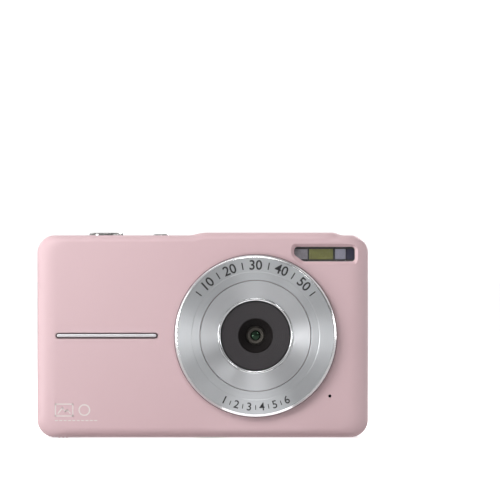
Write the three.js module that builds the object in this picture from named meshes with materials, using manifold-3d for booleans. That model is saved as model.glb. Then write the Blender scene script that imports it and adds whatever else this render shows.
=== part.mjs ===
// Compact digital camera, in millimetres, +Z up. The lens looks along -Y, and +X is to the right of someone
// facing the lens. The origin is the bottom centre of the whole camera. Heights are counted from the body's flat
// bottom. The latch's thumb ribs lift it off the table, so everything hangs in one group raised by their height.
import * as THREE from "three";
import { mergeVertices } from "three/addons/utils/BufferGeometryUtils.js";
import Module from "manifold-3d";

const wasm = await Module();
wasm.setup();

// ---- driving dimensions ----

const BODY_WIDTH = 95;
const BODY_HEIGHT = 58;
const BODY_FRONT = -10.1; // the front cover's flat face
const PANEL_BACK = 10.1; // the key panel's face on the rear cover
const SEAM = 4.4; // where the two covers meet
const CORNER = 5; // corner radius of the outline
const FRONT_EDGE = 3; // rounding of the front cover's edge
const REAR_EDGE = 2; // rounding of the rear cover's edge
const WALL = 1.2;
const FLOOR = 1.6; // the bottom wall is thicker, because it carries the door and the tripod nut
const HUMP = { height: 0.8, left: -3.4, leftTop: 0.2, rightTop: 38, right: 39.8 };
const RIB_HEIGHT = 0.35; // the latch's thumb ribs stand this far below the bottom

const RUNNING_GAP = 0.1; // between a fixed insert and its hole
const KEY_GAP = 0.2; // around a key that travels
const TOUCH_GAP = 0.05; // between pieces that lie on each other

const LENS = { x: 15.2, z: 29.2, ring: 23.4, proud: 2.1, groove: 15.9, lip: 10.5, disc: 9.85, cone: 4.9 };
const FLASH = { left: 26.4, right: 43.6, bottom: 50.6, top: 54.6, cutX: 29, cutZ: 52.5 };
const FLASH_RECESS = { left: 25.5, right: 44.5, bottom: 50, top: 55.4, depth: 0.8 };
const TRIM = { left: -42.1, right: -12.9, z: 29.2, height: 1.5, depth: 0.6 };
const MICROPHONE = { x: 36.5, z: 11.9, radius: 0.45 };

const SHUTTER = { x: -27.9, y: -1.4, radius: 4.85, proud: 0.75, travel: 0.6 };
const POWER = { x: -12, y: -1.4, radius: 2.45, proud: 0.35, travel: 0.3 };
const TOP_SWITCH = 52.65; // height of the top switches' plungers

const KEYS = [
  { name: "zoom_wide_button", x: -29.95, z: 44, radius: 3.35 },
  { name: "zoom_tele_button", x: -41.3, z: 44, radius: 3.35 },
  { name: "menu_button", x: -30, z: 14.7, radius: 3.45 },
  { name: "play_button", x: -41.3, z: 14.7, radius: 3.45 },
];
const KEY_TRAVEL = 0.35;
const KEY_PROUD = 0.55;
const KEY_SHEET = { back: 6.3, face: 6.55, dome: 6.8, radius: 1.6 };
const NAV = { x: -35.6, z: 29.3, radius: 8.85, hole: 9.1, inner: 4.05, key: 3.6, domes: 6.2 };
const STATUS = { x: -30.1, z: 52.8, length: 3, height: 1.2 };

const PLATEAU = { left: -19.2, right: 44.6, bottom: 6, top: 53.3, back: 12.2 };
const PLATEAU_FOOT = { left: -23.2, right: 46.2, bottom: 2.9, top: 56.6 };
const WINDOW = { left: -14.7, right: 39.8, bottom: 8.7, top: 49.6, floor: 10.8 };
const SCREEN = { left: -12.9, right: 38.1, bottom: 10.3, top: 49 };
const SPEAKER_HOLES = { x: 42.4, z: [16.1, 13.6, 11.1], radius: 0.45 };

const BATTERY = { left: -41.2, right: -9.2, front: -6.6, back: -0.6, bottom: 2.5, top: 44.5 };
const TRAY_WALL = 0.8;
const DOOR = { left: -43.2, front: -7, back: 3.8, hingeX: -8.3, hingeZ: 0.9, knuckle: 0.9, pin: 0.4 };
const LATCH = { front: -4.2, back: 0.8, recessEnd: -35.6, travel: 1.2, ribs: [-41.35, -40.25, -39.15] };
const USB = { front: -3.7, back: -0.3, bottom: 24.4, top: 33.6 }; // the socket's opening in the side wall
const TRIPOD = { x: 2, y: -2.4, thread: 3.2, ring: 4.5, flange: 6 };

// ---- solids from three.js shapes ----

// A closed geometry as a solid: without normals and texture coordinates its corners can be shared.
function solid(geometry) {
  const bare = geometry.clone();
  bare.deleteAttribute("normal");
  bare.deleteAttribute("uv");
  const merged = mergeVertices(bare, 1e-4);
  return new wasm.Manifold(
    new wasm.Mesh({
      numProp: 3,
      vertProperties: new Float32Array(merged.attributes.position.array),
      triVerts: new Uint32Array(merged.index.array),
    }),
  );
}

function geometryOf(made) {
  const mesh = made.getMesh();
  const geometry = new THREE.BufferGeometry();
  geometry.setAttribute("position", new THREE.BufferAttribute(mesh.vertProperties, 3));
  geometry.setIndex(new THREE.BufferAttribute(mesh.triVerts, 1));
  geometry.computeVertexNormals();
  return geometry;
}

const joined = (first, ...others) => others.reduce((whole, piece) => whole.add(piece), first);
const cut = (first, ...others) => others.reduce((whole, piece) => whole.subtract(piece), first);

function block(x0, x1, y0, y1, z0, z1) {
  const box = new THREE.BoxGeometry(x1 - x0, y1 - y0, z1 - z0);
  return solid(box.translate((x0 + x1) / 2, (y0 + y1) / 2, (z0 + z1) / 2));
}

// A shape drawn in X and Z, as thick as the stretch from y0 to y1.
function slab(shape, y0, y1, curveSegments = 5) {
  const plate = new THREE.ExtrudeGeometry(shape, { depth: y1 - y0, bevelEnabled: false, curveSegments });
  return solid(plate.rotateX(Math.PI / 2).translate(0, y1, 0));
}

// A profile of [radius, along] points turned about an axis along Y through x, z. It starts and ends on the axis,
// or is closed here. Its points run so that the outside is on the right of someone who walks along them to +Y.
function turned(profile, x, z, segments = 24) {
  const onAxis = profile[0][0] === 0 && profile.at(-1)[0] === 0;
  const points = profile.map(([radius, along]) => new THREE.Vector2(radius, along));
  if (!onAxis) points.push(points[0].clone());
  return solid(new THREE.LatheGeometry(points, segments).translate(x, 0, z));
}

// The same about an axis along Z through x, y.
function turnedUp(profile, x, y, segments = 24) {
  const onAxis = profile[0][0] === 0 && profile.at(-1)[0] === 0;
  const points = profile.map(([radius, along]) => new THREE.Vector2(radius, along));
  if (!onAxis) points.push(points[0].clone());
  return solid(new THREE.LatheGeometry(points, segments).rotateX(Math.PI / 2).translate(x, y, 0));
}

// A plain rod between two ends on the named axis.
function rod(axis, radius, from, to, a, b, segments = 20) {
  const plain = new THREE.CylinderGeometry(radius, radius, to - from, segments);
  const bar = plain.translate(0, (from + to) / 2, 0);
  if (axis === "x") return solid(bar.rotateZ(-Math.PI / 2).translate(0, a, b));
  if (axis === "z") return solid(bar.rotateX(Math.PI / 2).translate(a, b, 0));
  return solid(bar.translate(a, 0, b));
}

// ---- outlines ----

// The body's outline in X and Z, drawn in by inset, with the low hump on top unless it is left out.
function bodyOutline(inset, withHump) {
  const half = BODY_WIDTH / 2 - inset;
  const bottom = inset;
  const top = BODY_HEIGHT - inset;
  const radius = Math.max(CORNER - inset, 0.6);
  const shape = new THREE.Shape();
  shape.moveTo(-half + radius, bottom);
  shape.lineTo(half - radius, bottom);
  shape.absarc(half - radius, bottom + radius, radius, -Math.PI / 2, 0);
  shape.absarc(half - radius, top - radius, radius, 0, Math.PI / 2);
  if (withHump) {
    shape.lineTo(HUMP.right, top);
    shape.lineTo(HUMP.rightTop, top + HUMP.height);
    shape.lineTo(HUMP.leftTop, top + HUMP.height);
    shape.lineTo(HUMP.left, top);
  }
  shape.absarc(-half + radius, top - radius, radius, Math.PI / 2, Math.PI);
  shape.absarc(-half + radius, bottom + radius, radius, Math.PI, Math.PI * 1.5);
  return shape;
}

function roundedRectangle(left, right, bottom, top, radius) {
  const shape = new THREE.Shape();
  shape.moveTo(left + radius, bottom);
  shape.lineTo(right - radius, bottom);
  shape.absarc(right - radius, bottom + radius, radius, -Math.PI / 2, 0);
  shape.absarc(right - radius, top - radius, radius, 0, Math.PI / 2);
  shape.absarc(left + radius, top - radius, radius, Math.PI / 2, Math.PI);
  shape.absarc(left + radius, bottom + radius, radius, Math.PI, Math.PI * 1.5);
  return shape;
}

// The flash window: a rounded rectangle whose lower left corner is cut off at a slant beside the lens ring.
function flashOutline(grow) {
  const radius = 0.8;
  const left = FLASH.left - grow;
  const right = FLASH.right + grow;
  const bottom = FLASH.bottom - grow;
  const top = FLASH.top + grow;
  const shape = new THREE.Shape();
  shape.moveTo(FLASH.cutX, bottom);
  shape.lineTo(right - radius, bottom);
  shape.absarc(right - radius, bottom + radius, radius, -Math.PI / 2, 0);
  shape.absarc(right - radius, top - radius, radius, 0, Math.PI / 2);
  shape.absarc(left + radius, top - radius, radius, Math.PI / 2, Math.PI);
  shape.lineTo(left, FLASH.cutZ);
  return shape;
}

// The whole body between two depths, with both of its edges rounded by the same amount.
function roundedBody(front, back, edge) {
  const core = new THREE.ExtrudeGeometry(bodyOutline(0, true), {
    depth: back - front - 2 * edge,
    bevelEnabled: true,
    bevelThickness: edge,
    bevelSize: edge,
    bevelOffset: -edge,
    bevelSegments: 3,
    curveSegments: 5,
  });
  return solid(core.rotateX(Math.PI / 2).translate(0, back - edge, 0));
}

// ---- materials ----

function finish(color, roughness, metalness) {
  return new THREE.MeshStandardMaterial({ color, roughness, metalness });
}

const PINK = finish(0xdec1c6, 0.45, 0);
const ALUMINIUM = finish(0xb4b7ba, 0.35, 1);
const CHROME = finish(0xd8dadc, 0.12, 1);
const STEEL = finish(0x9ea2a6, 0.4, 1);
const BRASS = finish(0xb79b5c, 0.4, 1);
const BLACK = finish(0x2e2a2d, 0.6, 0);
const WHITE = finish(0xf2f2ee, 0.4, 0);
const RUBBER = finish(0x8d8f92, 0.8, 0);
const BOARD_GREEN = finish(0x1f5b38, 0.55, 0);
const CHIP = finish(0x1b1b1d, 0.5, 0);
const POLYIMIDE = finish(0xa0642a, 0.5, 0);
const GLASS = finish(0x20262c, 0.05, 0);
const LABEL = finish(0x3f4a57, 0.5, 0);
const PHOSPHOR = finish(0x9aa04a, 0.4, 0);
const SMOKE = finish(0x8d8896, 0.3, 0);
const NAVY = finish(0x1e2238, 0.2, 0);

const camera = new THREE.Group();
camera.position.z = RIB_HEIGHT;

function addPart(name, made, material) {
  const mesh = new THREE.Mesh(geometryOf(made), material);
  mesh.name = name;
  camera.add(mesh);
}

// ---- screws ----

const CASE_SCREW = { head: 1.4, headDeep: 0.9, sunk: 0.15, pocket: 1.55, shank: 0.6, end: 4, hole: 0.75 };
const CASE_SCREWS = [
  { side: -1, z: 12 },
  { side: -1, z: 49.5 },
  { side: 1, z: 12 },
  { side: 1, z: 46 },
];
const CASE_SCREW_Y = 1.4;
// The rear cover's tabs, which the case screws bite into.
const TAB = { front: -1, back: 5.2, depth: 2.6, half: 2.4 };
const BOARD = { front: 2.8, back: 3.6 };
const BOARD_SCREW = { head: 1.6, headDeep: 0.7, shank: 0.7, length: 3, hole: 0.9, post: 2.2 };
const BOARD_SCREWS = [
  { x: 40.2, z: 6.2 },
  { x: -3.8, z: 50.6 },
];

// A cross-head screw through the right side wall, mirrored for the left one.
function caseScrew({ side, z }) {
  const outside = BODY_WIDTH / 2 - CASE_SCREW.sunk;
  const headEnd = outside - CASE_SCREW.headDeep;
  const head = rod("x", CASE_SCREW.head, headEnd, outside, CASE_SCREW_Y, z, 20);
  const shank = rod("x", CASE_SCREW.shank, outside - CASE_SCREW.end, headEnd + 0.1, CASE_SCREW_Y, z, 12);
  const slot = joined(
    block(outside - 0.4, outside + 1, CASE_SCREW_Y - 0.9, CASE_SCREW_Y + 0.9, z - 0.15, z + 0.15),
    block(outside - 0.4, outside + 1, CASE_SCREW_Y - 0.15, CASE_SCREW_Y + 0.15, z - 0.9, z + 0.9),
  );
  const made = cut(joined(head, shank), slot);
  return side > 0 ? made : made.mirror([1, 0, 0]);
}

// The room a case screw needs in the front cover: its head's pocket and a hole for its shank.
function caseScrewPocket({ side, z }) {
  const outside = BODY_WIDTH / 2;
  const pocketEnd = outside - CASE_SCREW.sunk - CASE_SCREW.headDeep;
  const [headFrom, headTo] = side > 0 ? [pocketEnd, outside + 1] : [-outside - 1, -pocketEnd];
  const [holeFrom, holeTo] = side > 0 ? [outside - 3, outside] : [-outside, 3 - outside];
  return joined(
    rod("x", CASE_SCREW.pocket, headFrom, headTo, CASE_SCREW_Y, z, 20),
    rod("x", CASE_SCREW.hole, holeFrom, holeTo, CASE_SCREW_Y, z, 12),
  );
}

// A tab of the rear cover that reaches forward inside the front cover's side wall.
function screwTab({ side, z }) {
  const wallFace = BODY_WIDTH / 2 - WALL;
  const innerEnd = wallFace - TAB.depth;
  const reach = block(innerEnd, wallFace - RUNNING_GAP, TAB.front, TAB.back, z - TAB.half, z + TAB.half);
  const root = block(innerEnd, wallFace + 0.4, SEAM, TAB.back, z - TAB.half, z + TAB.half);
  const hole = rod("x", CASE_SCREW.hole, innerEnd - 1, wallFace + 1, CASE_SCREW_Y, z, 12);
  const made = cut(joined(reach, root), hole);
  return side > 0 ? made : made.mirror([1, 0, 0]);
}

function boardScrew({ x, z }) {
  const headBack = BOARD.back + TOUCH_GAP + BOARD_SCREW.headDeep;
  return turned(
    [
      [0, BOARD.back - BOARD_SCREW.length],
      [BOARD_SCREW.shank, BOARD.back - BOARD_SCREW.length],
      [BOARD_SCREW.shank, BOARD.back + TOUCH_GAP],
      [BOARD_SCREW.head, BOARD.back + TOUCH_GAP],
      [BOARD_SCREW.head * 0.8, headBack],
      [0, headBack],
    ],
    x,
    z,
    16,
  );
}

// ---- covers ----

function trimOutline(grow) {
  const { left, right, z, height } = TRIM;
  const half = height / 2;
  return roundedRectangle(left - grow, right + grow, z - half - grow, z + half + grow, half);
}

// The opening in the bottom for the battery door, its hinge pin's holes and the pocket for the latch's bolt.
function doorOpening() {
  const opening = block(
    DOOR.left - RUNNING_GAP,
    DOOR.hingeX + DOOR.knuckle + RUNNING_GAP,
    DOOR.front - RUNNING_GAP,
    DOOR.back + RUNNING_GAP,
    -1,
    FLOOR + 1,
  );
  const pin = rod("y", DOOR.pin + 0.05, DOOR.front - 0.7, SEAM, DOOR.hingeX, DOOR.hingeZ, 16);
  const bolt = block(DOOR.left - LATCH.travel, DOOR.left, LATCH.front - 0.1, LATCH.back + 0.1, 0.65, 1.25);
  return joined(opening, pin, bolt);
}

function frontCover() {
  const whole = roundedBody(BODY_FRONT, PANEL_BACK, FRONT_EDGE);
  const shell = whole.subtract(block(-60, 60, SEAM, 20, -5, 70));
  const cavity = slab(bodyOutline(FLOOR, false), BODY_FRONT + 1.5, SEAM + 1);
  const wideCavity = slab(bodyOutline(WALL, false), BODY_FRONT + 2.2, SEAM + 1);
  const aboveFloor = wideCavity.subtract(block(-60, 60, -20, 20, -1, FLOOR));
  const { post, shank } = BOARD_SCREW;
  const postEnd = BOARD.front - TOUCH_GAP;
  const posts = BOARD_SCREWS.map(({ x, z }) => rod("y", post, BODY_FRONT + 1, postEnd, x, z, 16));
  const pilots = BOARD_SCREWS.map(({ x, z }) => rod("y", shank + 0.15, -0.5, BOARD.front + 1, x, z, 12));
  const body = cut(joined(cut(shell, cavity, aboveFloor), ...posts), ...pilots);
  return cut(
    body,
    rod("y", 13, BODY_FRONT - 5, BODY_FRONT + 3, LENS.x, LENS.z, 32),
    slab(flashOutline(RUNNING_GAP), BODY_FRONT - 1, BODY_FRONT + 3),
    slab(
      roundedRectangle(FLASH_RECESS.left, FLASH_RECESS.right, FLASH_RECESS.bottom, FLASH_RECESS.top, 1.6),
      BODY_FRONT - 1,
      BODY_FRONT + FLASH_RECESS.depth,
    ),
    slab(trimOutline(RUNNING_GAP), BODY_FRONT - 1, BODY_FRONT + TRIM.depth),
    rod("y", MICROPHONE.radius, BODY_FRONT - 1, BODY_FRONT + 3, MICROPHONE.x, MICROPHONE.z, 12),
    rod("z", SHUTTER.radius + KEY_GAP, BODY_HEIGHT - 3, BODY_HEIGHT + 3, SHUTTER.x, SHUTTER.y, 24),
    rod("z", POWER.radius + KEY_GAP, BODY_HEIGHT - 3, BODY_HEIGHT + 3, POWER.x, POWER.y, 24),
    rod("z", TRIPOD.ring + 0.15, -1, FLOOR + 1, TRIPOD.x, TRIPOD.y, 24),
    block(44, 49, USB.front, USB.back, USB.bottom, USB.top),
    doorOpening(),
    ...CASE_SCREWS.map(caseScrewPocket),
  );
}

// The raised part behind the screen: a block whose back is smaller than its foot, so that its sides slope.
function plateau() {
  const foot = PLATEAU_FOOT;
  const box = new THREE.BoxGeometry(1, 1, 1);
  const corners = box.attributes.position;
  for (let i = 0; i < corners.count; i += 1) {
    const rectangle = corners.getY(i) > 0 ? PLATEAU : foot;
    const x = corners.getX(i) > 0 ? rectangle.right : rectangle.left;
    const z = corners.getZ(i) > 0 ? rectangle.top : rectangle.bottom;
    corners.setXYZ(i, x, corners.getY(i) > 0 ? PLATEAU.back : PANEL_BACK, z);
  }
  const root = block(foot.left, foot.right, PANEL_BACK - 0.8, PANEL_BACK, foot.bottom, foot.top);
  const raised = joined(solid(box), root);
  return raised.intersect(slab(bodyOutline(0.8, false), SEAM, PLATEAU.back + 1));
}

function statusOutline(grow) {
  const half = STATUS.length / 2 + grow;
  const rise = STATUS.height / 2 + grow;
  return roundedRectangle(STATUS.x - half, STATUS.x + half, STATUS.z - rise, STATUS.z + rise, rise * 0.95);
}

function rearCover() {
  const whole = roundedBody(BODY_FRONT, PANEL_BACK, REAR_EDGE);
  const shell = joined(whole.subtract(block(-60, 60, -20, SEAM, -5, 70)), plateau());
  const cavity = slab(bodyOutline(WALL, false), SEAM - 1, PANEL_BACK - WALL);
  const body = joined(cut(shell, cavity), ...CASE_SCREWS.map(screwTab));
  const { left, right, bottom, top, floor } = WINDOW;
  const beyond = PLATEAU.back + 1;
  return cut(
    body,
    slab(roundedRectangle(left, right, bottom, top, 0.6), floor, beyond),
    slab(roundedRectangle(SCREEN.left, SCREEN.right, SCREEN.bottom, SCREEN.top, 0.4), SEAM, beyond),
    ...KEYS.map(({ x, z, radius }) => rod("y", radius + KEY_GAP, PANEL_BACK - 2, PANEL_BACK + 2, x, z, 20)),
    rod("y", NAV.hole, PANEL_BACK - 2, PANEL_BACK + 2, NAV.x, NAV.z, 36),
    slab(statusOutline(RUNNING_GAP), PANEL_BACK - 2, PANEL_BACK + 2),
    ...SPEAKER_HOLES.z.map((z) => rod("y", SPEAKER_HOLES.radius, 5, beyond, SPEAKER_HOLES.x, z, 12)),
  );
}

// ---- lens ----

function lensRings() {
  const { x, z, ring, proud, groove, lip, disc, cone } = LENS;
  const seat = BODY_FRONT - TOUCH_GAP;
  const rim = BODY_FRONT - proud;
  const outer = [
    [groove + 0.05, rim + 0.25],
    [ring - 0.8, rim],
    [ring, rim + 0.7],
    [ring, seat],
    [groove + 0.05, seat],
  ];
  const inner = [
    [disc + 0.1, rim + 0.95],
    [lip, rim + 0.8],
    [lip + 0.3, rim + 1.05],
    [groove - 0.05, rim + 0.35],
    [groove - 0.05, seat],
    [disc + 0.1, seat],
  ];
  const black = [
    [2.75, -6.9],
    [cone, -10.5],
    [disc, -10.7],
    [disc, -9.1],
    [6.5, -9.1],
    [5.9, -6.2],
    [2.75, -6.2],
  ];
  addPart("lens_ring_outer", turned(outer, x, z, 48), ALUMINIUM);
  addPart("lens_ring_inner", turned(inner, x, z, 40), ALUMINIUM);
  addPart("lens_black_ring", turned(black, x, z, 32), BLACK);
}

function lensModule() {
  const { x, z } = LENS;
  const barrel = [
    [1.45, -7.2],
    [2.4, -7.2],
    [2.5, -6.1],
    [5, -6.1],
    [5, -0.6],
    [1.45, -0.6],
  ];
  const front = [
    [0, -7],
    [0.8, -6.9],
    [1.4, -6.6],
    [1.4, -5.8],
    [0, -5.8],
  ];
  addPart("lens_barrel", turned(barrel, x, z), STEEL);
  addPart("lens_glass", turned(front, x, z, 16), GLASS);
  const holder = joined(rod("y", 6.3, -5.5, 0, x, z), block(x - 9, x + 9, -0.9, 1.4, z - 9, z + 9));
  addPart("lens_holder", cut(holder, rod("y", 5.15, -6, 2, x, z)), CHIP);
  addPart("image_sensor", block(x - 3.5, x + 3.5, 0.5, 1.45, z - 3, z + 3), CHIP);
  addPart("sensor_board", block(x - 12, x + 12, 1.5, 2.3, z - 11, z + 11), BOARD_GREEN);
}

// ---- flash and trim on the front ----

function flash() {
  const { left, right, bottom, top } = FLASH;
  const face = -8.5;
  const floor = -7;
  addPart("flash_window", slab(flashOutline(0), BODY_FRONT + 0.9, BODY_FRONT + 1.5), GLASS);
  const housing = block(left - 0.5, right + 0.5, face, -6, bottom - 0.5, 55.2);
  const pocket = block(left, right, face - 1, floor + TOUCH_GAP, bottom, top);
  addPart("flash_housing", cut(housing, pocket), BLACK);
  const strips = [
    { name: "flash_diffuser", from: 26.5, to: 30.15, material: SMOKE },
    { name: "flash_lamp", from: 30.25, to: 37.85, material: PHOSPHOR },
    { name: "focus_lamp", from: 37.95, to: 41.05, material: SMOKE },
    { name: "light_sensor", from: 41.15, to: 43.5, material: NAVY },
  ];
  for (const { name, from, to, material } of strips) {
    addPart(name, block(from, to, face + 0.2, floor, bottom + RUNNING_GAP, top - RUNNING_GAP), material);
  }
  addPart("flash_board", block(left - 0.5, right + 0.5, -5.9, -5.1, 49, 55.2), BOARD_GREEN);
}

// A half-round bar that lies in the groove beside the lens.
function trimBar() {
  const { left, right, z, height, depth } = TRIM;
  const bar = roundedRectangle(left, right, z - height / 2, z + height / 2, height / 2 - 0.01);
  const body = slab(bar, BODY_FRONT - 0.1, BODY_FRONT + depth - TOUCH_GAP);
  const crown = roundedRectangle(left + 0.3, right - 0.3, z - 0.45, z + 0.45, 0.44);
  addPart("trim_bar", joined(body, slab(crown, BODY_FRONT - 0.35, BODY_FRONT)), CHROME);
}

// ---- controls on top ----

// A push button that travels down through the top wall. A flange stops it, and its stem works the switch.
function topButton({ x, y, radius, proud, travel }, stem) {
  const under = BODY_HEIGHT - WALL - KEY_GAP;
  const crown = BODY_HEIGHT + proud;
  const flange = radius + 0.7;
  return turnedUp(
    [
      [0, TOP_SWITCH + TOUCH_GAP + travel],
      [stem, TOP_SWITCH + TOUCH_GAP + travel],
      [stem, under - 0.8],
      [flange, under - 0.8],
      [flange, under],
      [radius, under],
      [radius, crown - 0.4],
      [radius - 0.35, crown - 0.12],
      [0, crown],
    ],
    x,
    y,
  );
}

// The coil that lifts the shutter button: a round wire wound about the stem, standing on the switch board. It is drawn
// at its pressed length, so that the button's flange has room to come down.
function shutterSpring() {
  const bottom = 51.55;
  const top = BODY_HEIGHT - WALL - KEY_GAP - 0.8 - 0.25 - SHUTTER.travel;
  const turns = 5;
  const points = [];
  for (let i = 0; i <= turns * 10; i += 1) {
    const angle = (i / 10) * Math.PI * 2;
    points.push(
      new THREE.Vector3(
        SHUTTER.x + 3.1 * Math.cos(angle),
        SHUTTER.y + 3.1 * Math.sin(angle),
        bottom + ((top - bottom) * i) / (turns * 10),
      ),
    );
  }
  const wire = new THREE.Shape();
  wire.absarc(0, 0, 0.2, 0, Math.PI * 2);
  return solid(
    new THREE.ExtrudeGeometry(wire, {
      extrudePath: new THREE.CatmullRomCurve3(points),
      steps: turns * 10,
      curveSegments: 3,
      bevelEnabled: false,
    }),
  );
}

function topControls() {
  addPart("shutter_button", topButton(SHUTTER, 1.2), CHROME);
  addPart("power_button", topButton(POWER, 0.9), CHROME);
  addPart("shutter_spring", shutterSpring(), STEEL);
  addPart("top_key_board", block(-34, -9, -5.4, 2.6, 50.5, 51.3), BOARD_GREEN);
  const switchFoot = 51.3 + TOUCH_GAP;
  for (const { name, x, y } of [
    { name: "shutter_switch", ...SHUTTER },
    { name: "power_switch", ...POWER },
  ]) {
    const body = block(x - 2, x + 2, y - 2, y + 2, switchFoot, switchFoot + 0.8);
    addPart(name, joined(body, rod("z", 0.9, switchFoot, TOP_SWITCH, x, y, 16)), STEEL);
  }
}

// ---- keys on the back ----

function key({ x, z, radius }) {
  const face = PANEL_BACK + KEY_PROUD;
  const stop = PANEL_BACK - WALL - RUNNING_GAP;
  const stemEnd = KEY_SHEET.dome + TOUCH_GAP + KEY_TRAVEL;
  const profile = [
    [0, stemEnd],
    [1.2, stemEnd],
    [1.2, stop - 0.8],
    [radius + 0.5, stop - 0.8],
    [radius + 0.5, stop],
    [radius, stop],
    [radius, face - 0.3],
    [radius - 0.3, face],
    [0, face],
  ];
  return turned(profile, x, z, 20);
}

// The four-way ring: a shallow cone that falls towards the confirm key, with a flange under the panel.
function navigation() {
  const { x, z, radius, inner, key: keyRadius } = NAV;
  const ring = [
    [inner, 7.9],
    [radius + 0.4, 7.9],
    [radius + 0.4, 8.35],
    [radius, 8.35],
    [radius, 10.55],
    [radius - 0.45, 10.9],
    [inner + 0.25, 10.35],
    [inner, 10.1],
  ];
  const rocker = [
    [4.4, 7.1],
    [7.4, 7.1],
    [7.4, 7.6],
    [4.4, 7.6],
  ];
  const confirm = [
    [0, KEY_SHEET.dome + TOUCH_GAP + KEY_TRAVEL],
    [4.15, KEY_SHEET.dome + TOUCH_GAP + KEY_TRAVEL],
    [4.15, 7.55],
    [keyRadius, 7.55],
    [keyRadius, 10.35],
    [keyRadius - 0.25, 10.6],
    [0, 10.6],
  ];
  addPart("nav_ring", turned(ring, x, z, 36), ALUMINIUM);
  addPart("nav_rocker", turned(rocker, x, z), BLACK);
  addPart("ok_button", turned(confirm, x, z), CHROME);
}

function keyPad() {
  for (const spec of KEYS) addPart(spec.name, key(spec), CHROME);
  navigation();
  const sheet = block(-45.4, -24.6, KEY_SHEET.back + TOUCH_GAP, KEY_SHEET.face, 9, 50);
  const dome = (x, z) => rod("y", KEY_SHEET.radius, KEY_SHEET.face - 0.1, KEY_SHEET.dome, x, z, 12);
  const domes = KEYS.map(({ x, z }) => dome(x, z));
  domes.push(dome(NAV.x, NAV.z));
  for (const [stepX, stepZ] of [[1, 0], [-1, 0], [0, 1], [0, -1]]) {
    domes.push(dome(NAV.x + stepX * NAV.domes, NAV.z + stepZ * NAV.domes));
  }
  addPart("key_pad_sheet", joined(sheet, ...domes), RUBBER);
  addPart("key_board", block(-45.6, -24.4, KEY_SHEET.back - 0.8, KEY_SHEET.back, 6, 54.4), BOARD_GREEN);
  addPart("status_lamp", slab(statusOutline(0), 8, PANEL_BACK + 0.1), WHITE);
}

// ---- screen ----

function screen() {
  const { left, right, bottom, top, floor } = WINDOW;
  const pane = roundedRectangle(
    left + RUNNING_GAP,
    right - RUNNING_GAP,
    bottom + RUNNING_GAP,
    top - RUNNING_GAP,
    0.6,
  );
  addPart("screen_window", slab(pane, floor + TOUCH_GAP, floor + 0.8), GLASS);
  addPart("lcd_panel", block(-14.4, 39.6, 6.9, 8.8, 8, 51), GLASS);
  const tray = block(-15.2, 40.3, 6.1, 8.5, 7.2, 51.8);
  addPart("lcd_frame", cut(tray, block(-14.5, 39.7, 6.8, 9, 7.9, 51.1)), STEEL);
  addPart("lcd_flex", block(8, 18, BOARD.back + TOUCH_GAP, 6, 7.4, 7.6), POLYIMIDE);
}

// ---- battery, its bay and its door ----

function batteryBay() {
  const { left, right, front, back, bottom, top } = BATTERY;
  const slack = 0.3;
  const ceiling = top + 2.6;
  const tray = block(
    left - slack - TRAY_WALL,
    right + slack + TRAY_WALL,
    front - slack - TRAY_WALL,
    back + slack + TRAY_WALL,
    bottom,
    ceiling + TRAY_WALL,
  );
  const bay = block(left - slack, right + slack, front - slack, back + slack, bottom - 1, ceiling);
  addPart("battery_tray", cut(tray, bay), BLACK);
  addPart("battery", block(left, right, front, back, bottom, top), LABEL);
  const middle = (front + back) / 2;
  for (const [index, x] of [-17, -14, -11].entries()) {
    const blade = block(x - 0.6, x + 0.6, middle - 0.9, middle + 0.9, top + 0.3, ceiling - TOUCH_GAP);
    addPart(`battery_contact_${index + 1}`, blade, BRASS);
  }
}

function batteryDoor() {
  const { left, front, back, hingeX, hingeZ, knuckle, pin } = DOOR;
  const plate = block(left, hingeX, front, back, 0, FLOOR);
  const recess = block(left - 1, LATCH.recessEnd, LATCH.front, LATCH.back, -1, 1.3);
  const swing = rod("y", knuckle, front, back, hingeX, hingeZ, 24);
  const upperCorner = block(hingeX - 1.6, hingeX + 1, front - 1, back + 1, hingeZ, FLOOR + 1);
  const hole = rod("y", pin + RUNNING_GAP, front - 1, back + 1, hingeX, hingeZ, 16);
  addPart("battery_door", cut(joined(cut(plate, recess, upperCorner), swing), hole), PINK);
  addPart("battery_door_pin", rod("y", pin, front - 0.6, SEAM - 0.1, hingeX, hingeZ, 16), STEEL);
  const slide = block(left + 0.2, LATCH.recessEnd - 1.3, LATCH.front + 0.1, LATCH.back - 0.1, 0.1, 1.15);
  const belowBolt = block(left - 1, left + 0.1 + LATCH.travel, LATCH.front - 1, LATCH.back + 1, -1, 0.75);
  const ribs = LATCH.ribs.map((x) =>
    block(x - 0.25, x + 0.25, LATCH.front + 0.5, LATCH.back - 0.5, -RIB_HEIGHT, 0.3),
  );
  addPart("battery_latch", joined(cut(slide, belowBolt), ...ribs), PINK);
}

// ---- boards, sockets and sound ----

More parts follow.
